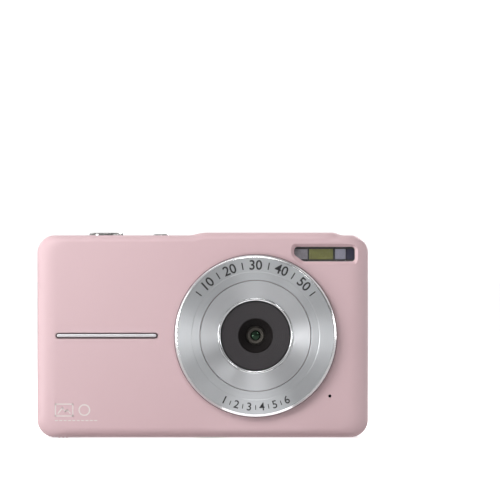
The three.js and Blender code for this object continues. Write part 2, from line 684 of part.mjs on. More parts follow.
function electronics() {
  const board = block(-6.4, 43, BOARD.front, BOARD.back, 3.2, 54);
  const holes = BOARD_SCREWS.map(({ x, z }) => rod("y", BOARD_SCREW.hole, 0, 6, x, z, 12));
  addPart("main_board", cut(board, ...holes), BOARD_GREEN);
  addPart("processor", block(30, 42, 1.4, BOARD.front - TOUCH_GAP, 14, 26), CHIP);
  const slot = block(-37, -11, 1.1, 4, 3, 33);
  addPart("card_slot", cut(slot, block(-36.2, -11.8, 1.4, 3.7, 2, 32)), STEEL);
  const socket = block(39, 47.1, USB.front + 0.1, USB.back - 0.1, USB.bottom + 0.1, USB.top - 0.1);
  const mouth = block(40, 48, USB.front + 0.45, USB.back - 0.45, USB.bottom + 0.45, USB.top - 0.45);
  const tongue = block(39.5, 46, -2.35, -1.65, USB.bottom + 1.4, USB.top - 1.4);
  addPart("usb_socket", joined(cut(socket, mouth), tongue), STEEL);
  addPart("speaker", block(40.8, 45.9, 5.6, 8.7, 7, 20), BLACK);
  addPart("microphone", block(35, 38, -8.4, -7, MICROPHONE.z - 1.5, MICROPHONE.z + 1.5), BRASS);
}

function fasteners() {
  const { x, y, thread, ring, flange } = TRIPOD;
  const nut = [
    [0, 5.5],
    [thread, 5.5],
    [thread, 0],
    [ring, 0],
    [ring, FLOOR + TOUCH_GAP],
    [flange, FLOOR + TOUCH_GAP],
    [flange, FLOOR + 1],
    [ring, FLOOR + 1],
    [ring, 6.8],
    [0, 6.8],
  ];
  addPart("tripod_nut", turnedUp(nut, x, y), BRASS);
  CASE_SCREWS.forEach((spec, index) => addPart(`case_screw_${index + 1}`, caseScrew(spec), STEEL));
  BOARD_SCREWS.forEach((spec, index) => addPart(`board_screw_${index + 1}`, boardScrew(spec), STEEL));
}

addPart("front_cover", frontCover(), PINK);
addPart("rear_cover", rearCover(), PINK);
lensRings();
lensModule();
flash();
trimBar();
topControls();
keyPad();
screen();
batteryBay();
batteryDoor();
electronics();
fasteners();

export default camera;
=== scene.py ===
# %% [markdown]
# # A compact camera, built around its CAD frame
#
# The camera's sizes, joints and inside are settled in CAD. This lesson gives it its looks: finely rounded
# shells in satin pink, a spun aluminium lens ring, chrome keys and a screen behind glass. The CAD model
# comes first, as a fixed frame, and each new piece takes its place from it. Shapes are drawn in millimetres
# and turned to metres at the end, because a camera's sizes are easier to read in millimetres.

# %% Load the frame
import math

import bmesh
import bpy
from mathutils import Matrix, Vector


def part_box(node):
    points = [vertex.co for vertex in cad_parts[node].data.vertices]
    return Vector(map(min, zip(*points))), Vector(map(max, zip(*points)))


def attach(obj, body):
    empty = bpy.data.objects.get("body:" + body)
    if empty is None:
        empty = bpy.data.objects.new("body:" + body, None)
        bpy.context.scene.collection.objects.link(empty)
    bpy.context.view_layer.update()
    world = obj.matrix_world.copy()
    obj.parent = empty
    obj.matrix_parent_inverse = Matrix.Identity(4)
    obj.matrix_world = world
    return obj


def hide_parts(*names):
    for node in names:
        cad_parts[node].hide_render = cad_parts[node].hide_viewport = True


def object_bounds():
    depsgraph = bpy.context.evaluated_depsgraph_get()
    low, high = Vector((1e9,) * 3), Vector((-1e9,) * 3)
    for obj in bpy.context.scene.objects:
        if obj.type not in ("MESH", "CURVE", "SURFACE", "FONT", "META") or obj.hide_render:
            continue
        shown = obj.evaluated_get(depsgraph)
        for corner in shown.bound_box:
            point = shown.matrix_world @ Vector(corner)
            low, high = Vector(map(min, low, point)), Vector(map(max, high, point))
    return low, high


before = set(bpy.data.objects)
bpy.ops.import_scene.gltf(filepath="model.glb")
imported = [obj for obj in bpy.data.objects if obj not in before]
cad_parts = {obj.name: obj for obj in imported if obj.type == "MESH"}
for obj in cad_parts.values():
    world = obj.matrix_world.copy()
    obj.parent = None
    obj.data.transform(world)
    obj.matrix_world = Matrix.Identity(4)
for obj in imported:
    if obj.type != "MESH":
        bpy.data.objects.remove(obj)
cad_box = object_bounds()
MM = 0.001


def box_of(node):
    """Lowest and highest corner of a CAD node, in millimetres."""
    low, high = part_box(node)
    return low / MM, high / MM


def middle_of(node):
    low, high = box_of(node)
    return (low + high) / 2


def fill_inputs(node, values):
    """Sets a node's inputs by name. An underscore stands for a space."""
    for title, value in values.items():
        node.inputs[title.replace("_", " ")].default_value = value


def add_node(tree, kind, operation=None, second=None, **values):
    """A new shader node, with its operation, its second number and its named inputs."""
    node = tree.nodes.new(f"ShaderNode{kind}")
    if operation:
        node.operation = operation
    if second is not None:
        node.inputs[1].default_value = second
    fill_inputs(node, values)
    return node


def mix_shader(tree, mask, first, second):
    """The first shader where the mask is 0, the second where it is 1."""
    either = tree.nodes.new("ShaderNodeMixShader")
    tree.links.new(mask, either.inputs["Fac"])
    tree.links.new(first.outputs[0], either.inputs[1])
    tree.links.new(second.outputs[0], either.inputs[2])
    return either


print("CAD box in mm:", [[round(v / MM, 2) for v in corner] for corner in cad_box])

# %% [markdown]
# ## Camera
#
# A product picture is taken from far away through a long lens, so that the front looks flat and true. The
# camera stands straight in front of the lens side, a little above the middle, and the field is half as wide
# again as the object.

# %% Camera
SENSOR = 36.0
STAND_OFF = 1200.0  # mm in front of the object
FIELD = 143.1  # mm across the picture at the object
AIM_RIGHT = 13.6  # the picture's middle lies this far right of the camera body's middle
AIM_UP = 54.13  # and this far above the table

lens_data = bpy.data.cameras.new("view_camera")
lens_data.sensor_width = SENSOR
lens_data.lens = SENSOR * STAND_OFF / FIELD
lens_data.clip_end = 20.0
view_camera = bpy.data.objects.new("view_camera", lens_data)
view_camera.location = Vector((AIM_RIGHT, cad_box[0].y / MM - STAND_OFF, AIM_UP)) * MM
view_camera.rotation_euler = (math.radians(90), 0, 0)
bpy.context.scene.collection.objects.link(view_camera)
bpy.context.scene.camera = view_camera
print("lens:", round(lens_data.lens), "mm")

# %% [markdown]
# ## Floor and light
#
# A white table under a white sky gives a clean background and soft shadows. The eye sees a bright table,
# but other rays meet a duller one, so that the table doesn't wash out the underside. The main softbox
# stands high on the left, so that the body's left edge catches the brightest line and the right side falls
# off. Strips on both sides and above draw the bright wedges of the spun metal. Cards that show only as
# reflections give polished edges something to mirror. The view transform stays Standard, so that colours
# come out as they are mixed.

# %% Floor and sky
floor_mesh = bmesh.new()
bmesh.ops.create_grid(floor_mesh, x_segments=1, y_segments=1, size=6.0)
floor_data = bpy.data.meshes.new("floor")
floor_mesh.to_mesh(floor_data)
floor_mesh.free()
floor = bpy.data.objects.new("floor", floor_data)
bpy.context.scene.collection.objects.link(floor)

WHITE = (1.0, 1.0, 1.0, 1)
TABLE_SEEN = 0.97
TABLE_BOUNCE = 0.62
TABLE_GLOW = 0.58
CONTACT_REACH = 0.0011  # metres: below this a ray runs in the gap under the object
CONTACT_GLOW = 0.5
table = bpy.data.materials.new("white_table")
table.use_nodes = True
tree = table.node_tree
seen = tree.nodes["Principled BSDF"]
seen_looks = {
    "Base_Color": (TABLE_SEEN, TABLE_SEEN, TABLE_SEEN, 1),
    "Roughness": 0.6,
    "Specular_IOR_Level": 0.2,
    "Emission_Color": WHITE,
    "Emission_Strength": TABLE_GLOW,
}
fill_inputs(seen, seen_looks)
bounce = add_node(tree, "BsdfDiffuse", Color=(TABLE_BOUNCE, TABLE_BOUNCE, TABLE_BOUNCE, 1))
contact_glow = add_node(tree, "Emission", Strength=CONTACT_GLOW)
through = add_node(tree, "BsdfTransparent")
ray = add_node(tree, "LightPath")
side = add_node(tree, "NewGeometry")
is_near = add_node(tree, "Math", "LESS_THAN", CONTACT_REACH)
tree.links.new(ray.outputs["Ray Length"], is_near.inputs[0])
by_reach = mix_shader(tree, is_near.outputs[0], bounce, contact_glow)
by_ray = mix_shader(tree, ray.outputs["Is Camera Ray"], by_reach, seen)
by_side = mix_shader(tree, side.outputs["Backfacing"], by_ray, through)
tree.links.new(by_side.outputs[0], tree.nodes["Material Output"].inputs["Surface"])
floor_data.materials.append(table)

SKY_SEEN = 1.1
SKY_LIGHT = 0.38
SKY_LEAN = (-0.26, 0.14, 0.10)  # the sky grows brighter this way
sky = bpy.data.worlds.new("white_sky")
sky.use_nodes = True
tree = sky.node_tree
lighting = tree.nodes["Background"]
lighting.inputs["Color"].default_value = WHITE
way = add_node(tree, "TexCoord")
lean = add_node(tree, "VectorMath", "DOT_PRODUCT", SKY_LEAN)
strength = add_node(tree, "Math", "ADD", SKY_LIGHT)
tree.links.new(way.outputs["Generated"], lean.inputs[0])
tree.links.new(lean.outputs["Value"], strength.inputs[0])
tree.links.new(strength.outputs[0], lighting.inputs["Strength"])
backdrop = add_node(tree, "Background", Color=WHITE, Strength=SKY_SEEN)
ray = add_node(tree, "LightPath")
either = mix_shader(tree, ray.outputs["Is Camera Ray"], lighting, backdrop)
tree.links.new(either.outputs[0], tree.nodes["World Output"].inputs["Surface"])
bpy.context.scene.world = sky
bpy.context.scene.view_settings.view_transform = "Standard"


# %% Lamps
def softbox(name, place, aim, width, height, power):
    """A rectangular lamp at a place in metres, turned to face a point."""
    data = bpy.data.lights.new(name, "AREA")
    data.shape = "RECTANGLE"
    data.size = width
    data.size_y = height
    data.energy = power
    lamp = bpy.data.objects.new(name, data)
    lamp.location = place
    lamp.rotation_euler = (Vector(aim) - Vector(place)).to_track_quat("-Z", "Y").to_euler()
    lamp.visible_camera = False
    bpy.context.scene.collection.objects.link(lamp)
    return lamp


MIDDLE = (0, 0, 0.03)
UPWARDS = (0.016, -0.028, 1.0)  # straight above the card that lies on the table
for name, place, aim, width, height, power in (
    ("key_softbox", (-0.18, -0.20, 0.20), (-0.038, 0, 0.03), 0.14, 0.14, 0.425),
    ("left_strip", (-0.50, -0.24, 0.045), MIDDLE, 0.12, 0.26, 0.92),
    ("top_strip", (0.015, -0.60, 0.72), MIDDLE, 0.34, 0.12, 1.0),
    ("right_strip", (0.50, -0.04, 0.045), MIDDLE, 0.12, 0.26, 0.34),
    ("rear_key", (0.32, 0.45, 0.38), MIDDLE, 0.26, 0.26, 1.6),
    ("rear_strip", (0.55, 0.28, 0.06), MIDDLE, 0.12, 0.45, 0.5),
    ("rear_fill", (-0.6, 0.7, 0.45), MIDDLE, 0.5, 0.5, 1.2),
):
    lamp = softbox(name, place, aim, width, height, power)
    lamp.visible_glossy = name != "key_softbox"

# Bright cards for the polished edges and small sparks for the glass. They light nothing that is dull.
for name, place, aim, width, height, power in (
    ("right_card", (0.62, -0.34, 0.045), MIDDLE, 0.30, 0.24, 0.44),
    ("left_card", (-0.60, -0.26, 0.12), MIDDLE, 0.16, 0.60, 0.40),
    ("top_card", (-0.10, -0.26, 0.62), MIDDLE, 0.80, 0.10, 0.32),
    ("right_dome", (0.50, -0.10, 0.42), MIDDLE, 0.45, 0.45, 0.32),
    ("rear_glint", (0.34, 0.50, 0.38), MIDDLE, 0.14, 0.14, 0.95),
    ("table_card", (0.016, -0.028, 0.0008), UPWARDS, 0.028, 0.034, 0.0026),
    ("left_spark", (-0.15, -0.40, 0.012), MIDDLE, 0.05, 0.035, 0.12),
    ("right_spark", (0.16, -0.40, 0.20), MIDDLE, 0.05, 0.05, 0.09),
):
    softbox(name, place, aim, width, height, power).visible_diffuse = False

# %% [markdown]
# ## Tools for making pieces
#
# Three ways of shaping cover nearly every piece. A moulded plate starts as an outline that is extruded and
# bevelled. A round part is a profile spun about its axis. A hole is cut by a boolean with a cutter that was
# shaped the same way. The finished mesh gets smooth shading below a set angle. Rims are bevelled, because
# no real edge is perfectly sharp and it is the rim that catches the light.

# %% Finish a mesh as a piece
def finish_piece(bm, name, body, material, stands_for=(), sharp_above=30.0, weigh=True):
    """Turns a bmesh drawn in millimetres into a piece that rides on a CAD body."""
    bmesh.ops.scale(bm, vec=(MM, MM, MM), verts=bm.verts)
    mesh = bpy.data.meshes.new(name)
    bm.to_mesh(mesh)
    bm.free()
    mesh.shade_smooth()
    mesh.set_sharp_from_angle(angle=math.radians(sharp_above))
    mesh.materials.append(material)
    piece = bpy.data.objects.new(name, mesh)
    bpy.context.scene.collection.objects.link(piece)
    if weigh:
        piece.modifiers.new("even_shading", "WEIGHTED_NORMAL").keep_sharp = True
    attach(piece, body)
    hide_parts(*stands_for)
    print(name, len(mesh.polygons), "faces")


# %% Prisms and turned shapes
NEAR = 1e-4  # mm: closer than this counts as the same place


def prism(points, near, far):
    """A closed prism along Y between two depths. Its outline is drawn in X and Z."""
    bm = bmesh.new()
    outline = bm.faces.new([bm.verts.new((x, near, z)) for x, z in points])
    grown = bmesh.ops.extrude_face_region(bm, geom=[outline])["geom"]
    far_verts = [g for g in grown if isinstance(g, bmesh.types.BMVert)]
    bmesh.ops.translate(bm, vec=(0, far - near, 0), verts=far_verts)
    bmesh.ops.recalc_face_normals(bm, faces=bm.faces)
    return bm


def rectangle(left, right, bottom, top):
    return [(left, bottom), (right, bottom), (right, top), (left, top)]


def bevel_edges(bm, edges, size, segments=4):
    bmesh.ops.bevel(bm, geom=edges, offset=size, segments=segments, profile=0.5, affect="EDGES", material=-1)


def edges_along(bm, axis):
    """The edges that run straight along one axis, 0 for X, 1 for Y and 2 for Z."""
    found = []
    for edge in bm.edges:
        way = (edge.verts[1].co - edge.verts[0].co).normalized()
        if abs(abs(way[axis]) - 1) < NEAR:
            found.append(edge)
    return found


def ends_of(bm, axis, value):
    """The faces that lie square across an axis at one value."""
    return [f for f in bm.faces if all(abs(v.co[axis] - value) < NEAR for v in f.verts)]


def ease_end(bm, axis, value, size, segments=3):
    """Bevels the rim of the faces that lie across an axis at one value."""
    bevel_edges(bm, [e for f in ends_of(bm, axis, value) for e in f.edges], size, segments)
    bmesh.ops.recalc_face_normals(bm, faces=bm.faces)


def rounded_block(low, high, corner):
    """A block between two corners whose four edges along X are rounded."""
    bm = prism(rectangle(low[0], high[0], low[2], high[2]), low[1], high[1])
    bevel_edges(bm, edges_along(bm, 0), corner, 8)
    return bm


def turned(profile, place, axis="Y", steps=96):
    """A profile of (radius, along) points spun about an axis. It closes on itself or on the axis."""
    bm = bmesh.new()
    spin_axis = {"X": (1, 0, 0), "Y": (0, 1, 0), "Z": (0, 0, 1)}[axis]
    verts = []
    for r, along in profile:
        if axis == "X":
            verts.append(bm.verts.new((along, place[1] + r, place[2])))
        elif axis == "Y":
            verts.append(bm.verts.new((place[0] + r, along, place[2])))
        else:
            verts.append(bm.verts.new((place[0] + r, place[1], along)))
    on_axis = profile[0][0] == 0 and profile[-1][0] == 0
    pairs = list(zip(verts, verts[1:])) + ([] if on_axis else [(verts[-1], verts[0])])
    edges = [bm.edges.new(pair) for pair in pairs]
    whole = verts + edges
    bmesh.ops.spin(bm, geom=whole, cent=place, axis=spin_axis, angle=math.tau, steps=steps, use_merge=True)
    bmesh.ops.remove_doubles(bm, verts=bm.verts, dist=NEAR)
    bmesh.ops.dissolve_degenerate(bm, edges=bm.edges, dist=1e-5)
    bmesh.ops.recalc_face_normals(bm, faces=bm.faces)
    return bm


def offsets(radius, along, steps):
    """Profile points given as steps from one radius and one depth."""
    return [(radius + out, along + on) for out, on in steps]


def rod(radius, place, near, far, axis="Y", steps=48):
    return turned([(0, near), (radius, near), (radius, far), (0, far)], place, axis, steps)


# %% Join and cut
def as_object(bm, name):
    mesh = bpy.data.meshes.new(name)
    bm.to_mesh(mesh)
    bm.free()
    made = bpy.data.objects.new(name, mesh)
    bpy.context.scene.collection.objects.link(made)
    return made


def merged(*parts):
    """Several bmeshes in one, without joining their surfaces."""
    whole = bmesh.new()
    for part in parts:
        mesh = bpy.data.meshes.new("part")
        part.to_mesh(mesh)
        part.free()
        whole.from_mesh(mesh)
        bpy.data.meshes.remove(mesh)
    return whole


def combine(bm, tools, operation="DIFFERENCE"):
    """Cuts the tools out of a solid, or joins them to it, one after another."""
    work = as_object(bm, "work")
    helpers = [as_object(tool, f"tool_{n}") for n, tool in enumerate(tools)]
    for helper in helpers:
        step = work.modifiers.new(helper.name, "BOOLEAN")
        step.operation = operation
        step.solver = "EXACT"
        step.object = helper
    bpy.context.view_layer.update()
    ready = work.evaluated_get(bpy.context.evaluated_depsgraph_get())
    result = bmesh.new()
    result.from_mesh(ready.to_mesh())
    ready.to_mesh_clear()
    for used in (work, *helpers):
        data = used.data
        bpy.data.objects.remove(used)
        bpy.data.meshes.remove(data)
    bmesh.ops.remove_doubles(result, verts=result.verts, dist=NEAR)
    bmesh.ops.dissolve_degenerate(result, edges=result.edges, dist=NEAR)
    return result


# %% [markdown]
# ## Shared effects for the finishes
#
# Several finishes need the same small patterns, so each is built once as a node group. "mottle" is the slow
# drift in tone that paint and plating have. "skin" is the fine orange-peel or grain that moulding and
# spraying leave. "spun" makes the rings that a lathe leaves, from the distance to an axis. Groups give out
# only masks and heights, and every shader keeps its own fixed values.

# %% Node groups
def new_group(name, number, value, outputs):
    """A group that takes a place and one number and gives out plain values."""
    group = bpy.data.node_groups.new(name, "ShaderNodeTree")
    group.interface.new_socket("Vector", in_out="INPUT", socket_type="NodeSocketVector")
    group.interface.new_socket(number, in_out="INPUT", socket_type="NodeSocketFloat").default_value = value
    for title in outputs:
        group.interface.new_socket(title, in_out="OUTPUT", socket_type="NodeSocketFloat")
    entry = group.nodes.new("NodeGroupInput")
    leave = group.nodes.new("NodeGroupOutput")
    return group, entry, leave, group.links.new


def noise_group(name, detail, roughness):
    """A soft 0 to 1 mask of noise, with its size in features for each metre."""
    group, entry, leave, link = new_group(name, "Scale", 100.0, ["Mask"])
    noise = add_node(group, "TexNoise", Detail=detail, Roughness=roughness)
    link(entry.outputs["Vector"], noise.inputs["Vector"])
    link(entry.outputs["Scale"], noise.inputs["Scale"])
    link(noise.outputs["Fac"], leave.inputs["Mask"])
    return group


def spun_group():
    """The height of a lathe's rings about the Y axis of centred coordinates."""
    group, entry, leave, link = new_group("spun", "Rings", 9000.0, ["Height"])
    flatten = add_node(group, "VectorMath", "MULTIPLY", (1, 0, 1))
    reach = add_node(group, "VectorMath", "LENGTH")
    count = add_node(group, "Math", "MULTIPLY")
    fine = group.nodes.new("ShaderNodeTexNoise")
    fine.noise_dimensions = "1D"
    fill_inputs(fine, {"Scale": 1.0, "Detail": 3.0})
    link(entry.outputs["Vector"], flatten.inputs[0])
    link(flatten.outputs["Vector"], reach.inputs[0])
    link(reach.outputs["Value"], count.inputs[0])
    link(entry.outputs["Rings"], count.inputs[1])
    link(count.outputs[0], fine.inputs["W"])
    link(fine.outputs["Fac"], leave.inputs["Height"])
    return group


MOTTLE = noise_group("mottle", 2.0, 0.5)
SKIN = noise_group("skin", 5.0, 0.6)
SPUN = spun_group()

# %% [markdown]
# ## Finishes
#
# Every finish is a Principled shader whose base colour drifts a little between two tones, whose roughness
# varies around its own value and whose bump is the grain of the real surface. One function lays out that
# pattern, and each finish is a call with its own numbers. The spun and glass finishes need a few nodes more
# and have functions of their own.

# %% Painted, moulded and plated finishes
class Finish:
    """A material's nodes, with short ways to add and link them."""

    def __init__(self, name):
        self.material = bpy.data.materials.new(name)
        self.material.use_nodes = True
        self.tree = self.material.node_tree
        self.link = self.tree.links.new
        self.shader = self.tree.nodes["Principled BSDF"]
        self.place = add_node(self.tree, "TexCoord").outputs["Object"]

    def set(self, **values):
        fill_inputs(self.shader, values)

    def feed(self, socket, value):
        """Gives a socket a number, a colour or another node's output."""
        if isinstance(value, tuple):
            socket.default_value = (*value, 1)
        elif isinstance(value, (int, float)):
            socket.default_value = value
        else:
            self.link(value, socket)

    def moved(self, vector, **values):
        """A vector after a mapping, which moves, turns or stretches it."""
        mapping = add_node(self.tree, "Mapping", **values)
        self.link(vector, mapping.inputs["Vector"])
        return mapping.outputs["Vector"]

    def centred(self, centre):
        """Object coordinates counted from a point given in millimetres."""
        return self.moved(self.place, Location=-Vector(centre) * MM)

    def group(self, group, output, vector=None, **values):
        """One output of a shared group, at a vector or at the object's own place."""
        node = self.tree.nodes.new("ShaderNodeGroup")
        node.node_tree = group
        fill_inputs(node, values)
        self.link(vector or self.place, node.inputs["Vector"])
        return node.outputs[output]

    def spread(self, mask, low, high):
        """A mask turned into a value between low and high."""
        node = add_node(self.tree, "MapRange", From_Min=0.3, From_Max=0.7, To_Min=low, To_Max=high)
        self.link(mask, node.inputs["Value"])
        return node.outputs["Result"]

    def mixed(self, mask, first, second):
        """A mask turned into a colour between two."""
        node = self.tree.nodes.new("ShaderNodeMix")
        node.data_type = "RGBA"
        self.feed(node.inputs[0], mask)
        self.feed(node.inputs[6], first)
        self.feed(node.inputs[7], second)
        return node.outputs[2]

    def tint(self, mask, first, second):
        self.link(self.mixed(mask, first, second), self.shader.inputs["Base Color"])

    def bump(self, height, depth):
        """Turns a height into a bump. Depth is in millimetres."""
        node = add_node(self.tree, "Bump", Distance=depth * MM, Strength=1.0)
        self.link(height, node.inputs["Height"])
        self.link(node.outputs["Normal"], self.shader.inputs["Normal"])


def coated(
    name, first, second, roughness, metallic=0.0, grain=1800.0, depth=0.01, drift=60.0, vary=0.04, **extra
):
    """A finish of two close tones, a varied roughness and a fine grain."""
    finish = Finish(name)
    slow = finish.group(MOTTLE, "Mask", Scale=drift)
    finish.tint(slow, first, second)
    finish.link(finish.spread(slow, roughness - vary, roughness + vary), finish.shader.inputs["Roughness"])
    finish.bump(finish.group(SKIN, "Mask", Scale=grain), depth)
    finish.set(Metallic=metallic, **extra)
    return finish.material


PINK = coated("pink_satin_paint", (0.735, 0.520, 0.550), (0.765, 0.548, 0.578), 0.42, 0.0, 2600, 0.004, 25)
BLACK = coated("black_moulding", (0.030, 0.026, 0.029), (0.038, 0.033, 0.037), 0.5, grain=6000, depth=0.006)
DARK_GAP = coated("inside_black", (0.010, 0.010, 0.011), (0.016, 0.015, 0.017), 0.7)
CONE_TONES = (0.007, 0.005, 0.005), (0.010, 0.007, 0.007)
CONE_BLACK = coated("cone_black", *CONE_TONES, 0.55, depth=0.002, Specular_IOR_Level=0.16)
CHROME = coated("chrome_plating", (0.74, 0.75, 0.77), (0.80, 0.81, 0.82), 0.13, 1.0, depth=0.0, vary=0.03)
STEEL = coated("pressed_steel", (0.42, 0.43, 0.44), (0.52, 0.53, 0.54), 0.34, 1.0, grain=4000, depth=0.003)
BRASS = coated("turned_brass", (0.60, 0.44, 0.20), (0.68, 0.52, 0.26), 0.30, 1.0, grain=3000, depth=0.002)
RUBBER = coated("grey_silicone", (0.26, 0.27, 0.28), (0.30, 0.31, 0.32), 0.75, grain=5000, depth=0.008)
BOARD = coated("green_circuit_board", (0.016, 0.11, 0.045), (0.024, 0.16, 0.066), 0.35, grain=900, depth=0.02)
CHIP = coated("chip_epoxy", (0.018, 0.018, 0.020), (0.028, 0.027, 0.030), 0.5, grain=7000, depth=0.004)
AMBER = coated("amber_film", (0.42, 0.16, 0.03), (0.50, 0.21, 0.05), 0.3)
LABEL = coated("battery_wrap", (0.045, 0.065, 0.095), (0.060, 0.085, 0.120), 0.32, depth=0.002)
MILKY = coated("milky_light_pipe", (0.88, 0.90, 0.86), (0.95, 0.96, 0.93), 0.25, depth=0.001)
INK = coated("black_print", (0.020, 0.020, 0.022), (0.030, 0.029, 0.032), 0.45, depth=0.001)
PALE_INK = coated("pale_print", (0.84, 0.76, 0.74), (0.88, 0.80, 0.78), 0.45, depth=0.001)
ICON_INK = coated("key_print", (0.62, 0.66, 0.72), (0.70, 0.73, 0.78), 0.4, depth=0.001)
print("plain finishes ready")

# %% [markdown]
# ## Spun metal
#
# Aluminium that was turned or brushed on a lathe has fine rings. They stretch the highlights across the
# rings, so a disc shows bright wedges that point at its centre. The anisotropic shader does this when its
# tangent points away from the axis. The rings themselves come from the distance to the axis, as bump and as
# a small change of tone.

# %% Spun finishes
def spun(name, centre, first, second, roughness, rings=9000.0, depth=0.0012, anisotropic=0.9):
    finish = Finish(name)
    about = finish.centred(centre)
    groove = finish.group(SPUN, "Height", about, Rings=rings)
    finish.tint(groove, first, second)
    finish.link(finish.spread(groove, roughness - 0.05, roughness + 0.05), finish.shader.inputs["Roughness"])
    finish.bump(groove, depth)
    outward = add_node(finish.tree, "VectorMath", "MULTIPLY", (1, 0, 1))
    finish.link(about, outward.inputs[0])
    finish.link(outward.outputs["Vector"], finish.shader.inputs["Tangent"])
    finish.set(Metallic=1.0, Anisotropic=anisotropic)
    return finish.material


LENS = middle_of("lens_ring_outer")
NAV = middle_of("nav_ring")
BEZEL = coated("polished_bezel", (0.82, 0.82, 0.83), (0.88, 0.88, 0.89), 0.17, 1.0, depth=0.0, vary=0.02)
# Dark reddish colour that paints shade: the shadow where the lens ring meets the cover, with a painted
# reflection of the pink cover, and the shade in the trim bar's groove.
PAINTED_SHADE = coated("painted_shade_edge", (0.075, 0.050, 0.056), (0.10, 0.070, 0.076), 0.45, depth=0.0)
RING_METAL = spun("spun_lens_ring", LENS, (0.58, 0.60, 0.62), (0.74, 0.75, 0.77), 0.42)
NAV_METAL = spun("spun_nav_ring", NAV, (0.37, 0.39, 0.40), (0.51, 0.53, 0.54), 0.38)

# %% [markdown]
# ## Glass
#
# Clear covers are real glass for the eye, but a ray on its way to a lamp passes straight through them.
# Without that the parts behind a window would be lit only by lucky rays, and would come out dark and noisy.

# %% Glass finishes
def glass(name, colour):
    finish = Finish(name)
    finish.set(Roughness=0.01, IOR=1.46, Transmission_Weight=1.0, Base_Color=(*colour, 1))
    clear = add_node(finish.tree, "BsdfTransparent", Color=(*colour, 1))
    ray = add_node(finish.tree, "LightPath")
    either = mix_shader(finish.tree, ray.outputs["Is Shadow Ray"], finish.shader, clear)
    finish.link(either.outputs[0], finish.tree.nodes["Material Output"].inputs["Surface"])
    return finish.material


CLEAR = glass("clear_window", (0.96, 0.97, 0.97))

# %% [markdown]
# ## Body outline
#
# Both covers share one outline: a rectangle with round corners and a low hump along the top. It starts as a
# few points, is extruded to a prism, and its corner edges are bevelled. The covers, their insides and the
# step between them all come from this one prism, drawn in by different amounts.

# %% Body outline
FRONT_LOW, FRONT_HIGH = box_of("front_cover")
HALF_WIDTH = FRONT_HIGH.x
BASE = FRONT_LOW.z
FACE = FRONT_LOW.y
SEAM = FRONT_HIGH.y
HUMP_RISE = 0.8
TOP = FRONT_HIGH.z - HUMP_RISE
HUMP = {"left": -3.4, "left_top": 0.2, "right_top": 38.0, "right": 39.8}
CORNER = 5.0
WALL = 1.2
FLOOR = 1.6
RUNNING_GAP = 0.1
KEY_GAP = 0.2


def body_prism(near, far, inset=0.0, hump=True, bottom_inset=None):
    """The body's outline between two depths, drawn in by an inset, with its corners rounded."""
    side = HALF_WIDTH - inset
    low = BASE + (inset if bottom_inset is None else bottom_inset)
    high = TOP - inset
    points = [(-side, low), (side, low), (side, high)]
    if hump:
        points += [(HUMP["right"], high), (HUMP["right_top"], high + HUMP_RISE)]
        points += [(HUMP["left_top"], high + HUMP_RISE), (HUMP["left"], high)]
    points.append((-side, high))
    bm = prism(points, near, far)
    corners = [e for e in edges_along(bm, 1) if abs(abs(e.verts[0].co.x) - side) < 1e-3]
    bevel_edges(bm, corners, CORNER - inset, 14)
    if hump:
        ramps = [e for e in edges_along(bm, 1) if HUMP["left"] - 0.1 < e.verts[0].co.x < HUMP["right"] + 0.1]
        bevel_edges(bm, ramps, 0.9, 6)
    return bm


def fit_cap(bm, cap, old, new, along):
    """Extrudes an end face to a new depth and fits it from one (left, right, bottom, top) to another."""
    grown = bmesh.ops.extrude_face_region(bm, geom=[cap])["geom"]
    verts = [g for g in grown if isinstance(g, bmesh.types.BMVert)]
    next_cap = [g for g in grown if isinstance(g, bmesh.types.BMFace)][0]
    if cap.is_valid:
        bmesh.ops.delete(bm, geom=[cap], context="FACES_ONLY")
    old_x, old_z = (old[0] + old[1]) / 2, (old[2] + old[3]) / 2
    new_x, new_z = (new[0] + new[1]) / 2, (new[2] + new[3]) / 2
    size = ((new[1] - new[0]) / (old[1] - old[0]), 1, (new[3] - new[2]) / (old[3] - old[2]))
    about = Matrix.Translation((-old_x, 0, -old_z))
    bmesh.ops.scale(bm, vec=size, space=about, verts=verts)
    step = Vector((new_x - old_x, along - verts[0].co.y, new_z - old_z))
    bmesh.ops.translate(bm, vec=step, verts=verts)
    return next_cap


def drawn_in(box, left, right, bottom, top):
    return box[0] + left, box[1] - right, box[2] + bottom, box[3] - top


# %% Holes in the walls
def countersunk(radius, place, surface, inward, depth, axis, lip=0.12, steps=40):
    """A cutter for a round hole with an eased edge. Inward is +1 or -1 along the axis."""
    profile = [
        (0, surface - inward * 2.0), (radius + lip + 2.0, surface - inward * 2.0), (radius + lip, surface),
        (radius, surface + inward * lip), (radius, surface + inward * depth),
        (0, surface + inward * depth),
    ]
    return turned(profile, place, axis, steps)


def box_cutter(low, high):
    bm = bmesh.new()
    bmesh.ops.create_cube(bm, size=1.0)
    low, high = Vector(low), Vector(high)
    bmesh.ops.scale(bm, vec=high - low, verts=bm.verts)
    bmesh.ops.translate(bm, vec=(low + high) / 2, verts=bm.verts)
    return bm


def eased_box(low, high, surface_z, ease=0.15):
    """A box cutter that opens through the bottom, with its mouth eased there."""
    bm = box_cutter(low, high)
    whole = bm.verts[:] + bm.edges[:] + bm.faces[:]
    bmesh.ops.bisect_plane(bm, geom=whole, plane_co=(0, 0, surface_z + ease), plane_no=(0, 0, 1))
    lower = [v for v in bm.verts if v.co.z < surface_z + ease - NEAR]
    middle = (Vector(low) + Vector(high)) / 2
    reach = surface_z + ease - low[2]
    size = Vector((1 + 2 * reach / (high[0] - low[0]), 1 + 2 * reach / (high[1] - low[1]), 1))
    bmesh.ops.scale(bm, vec=size, space=Matrix.Translation((-middle.x, -middle.y, 0)), verts=lower)
    return bm


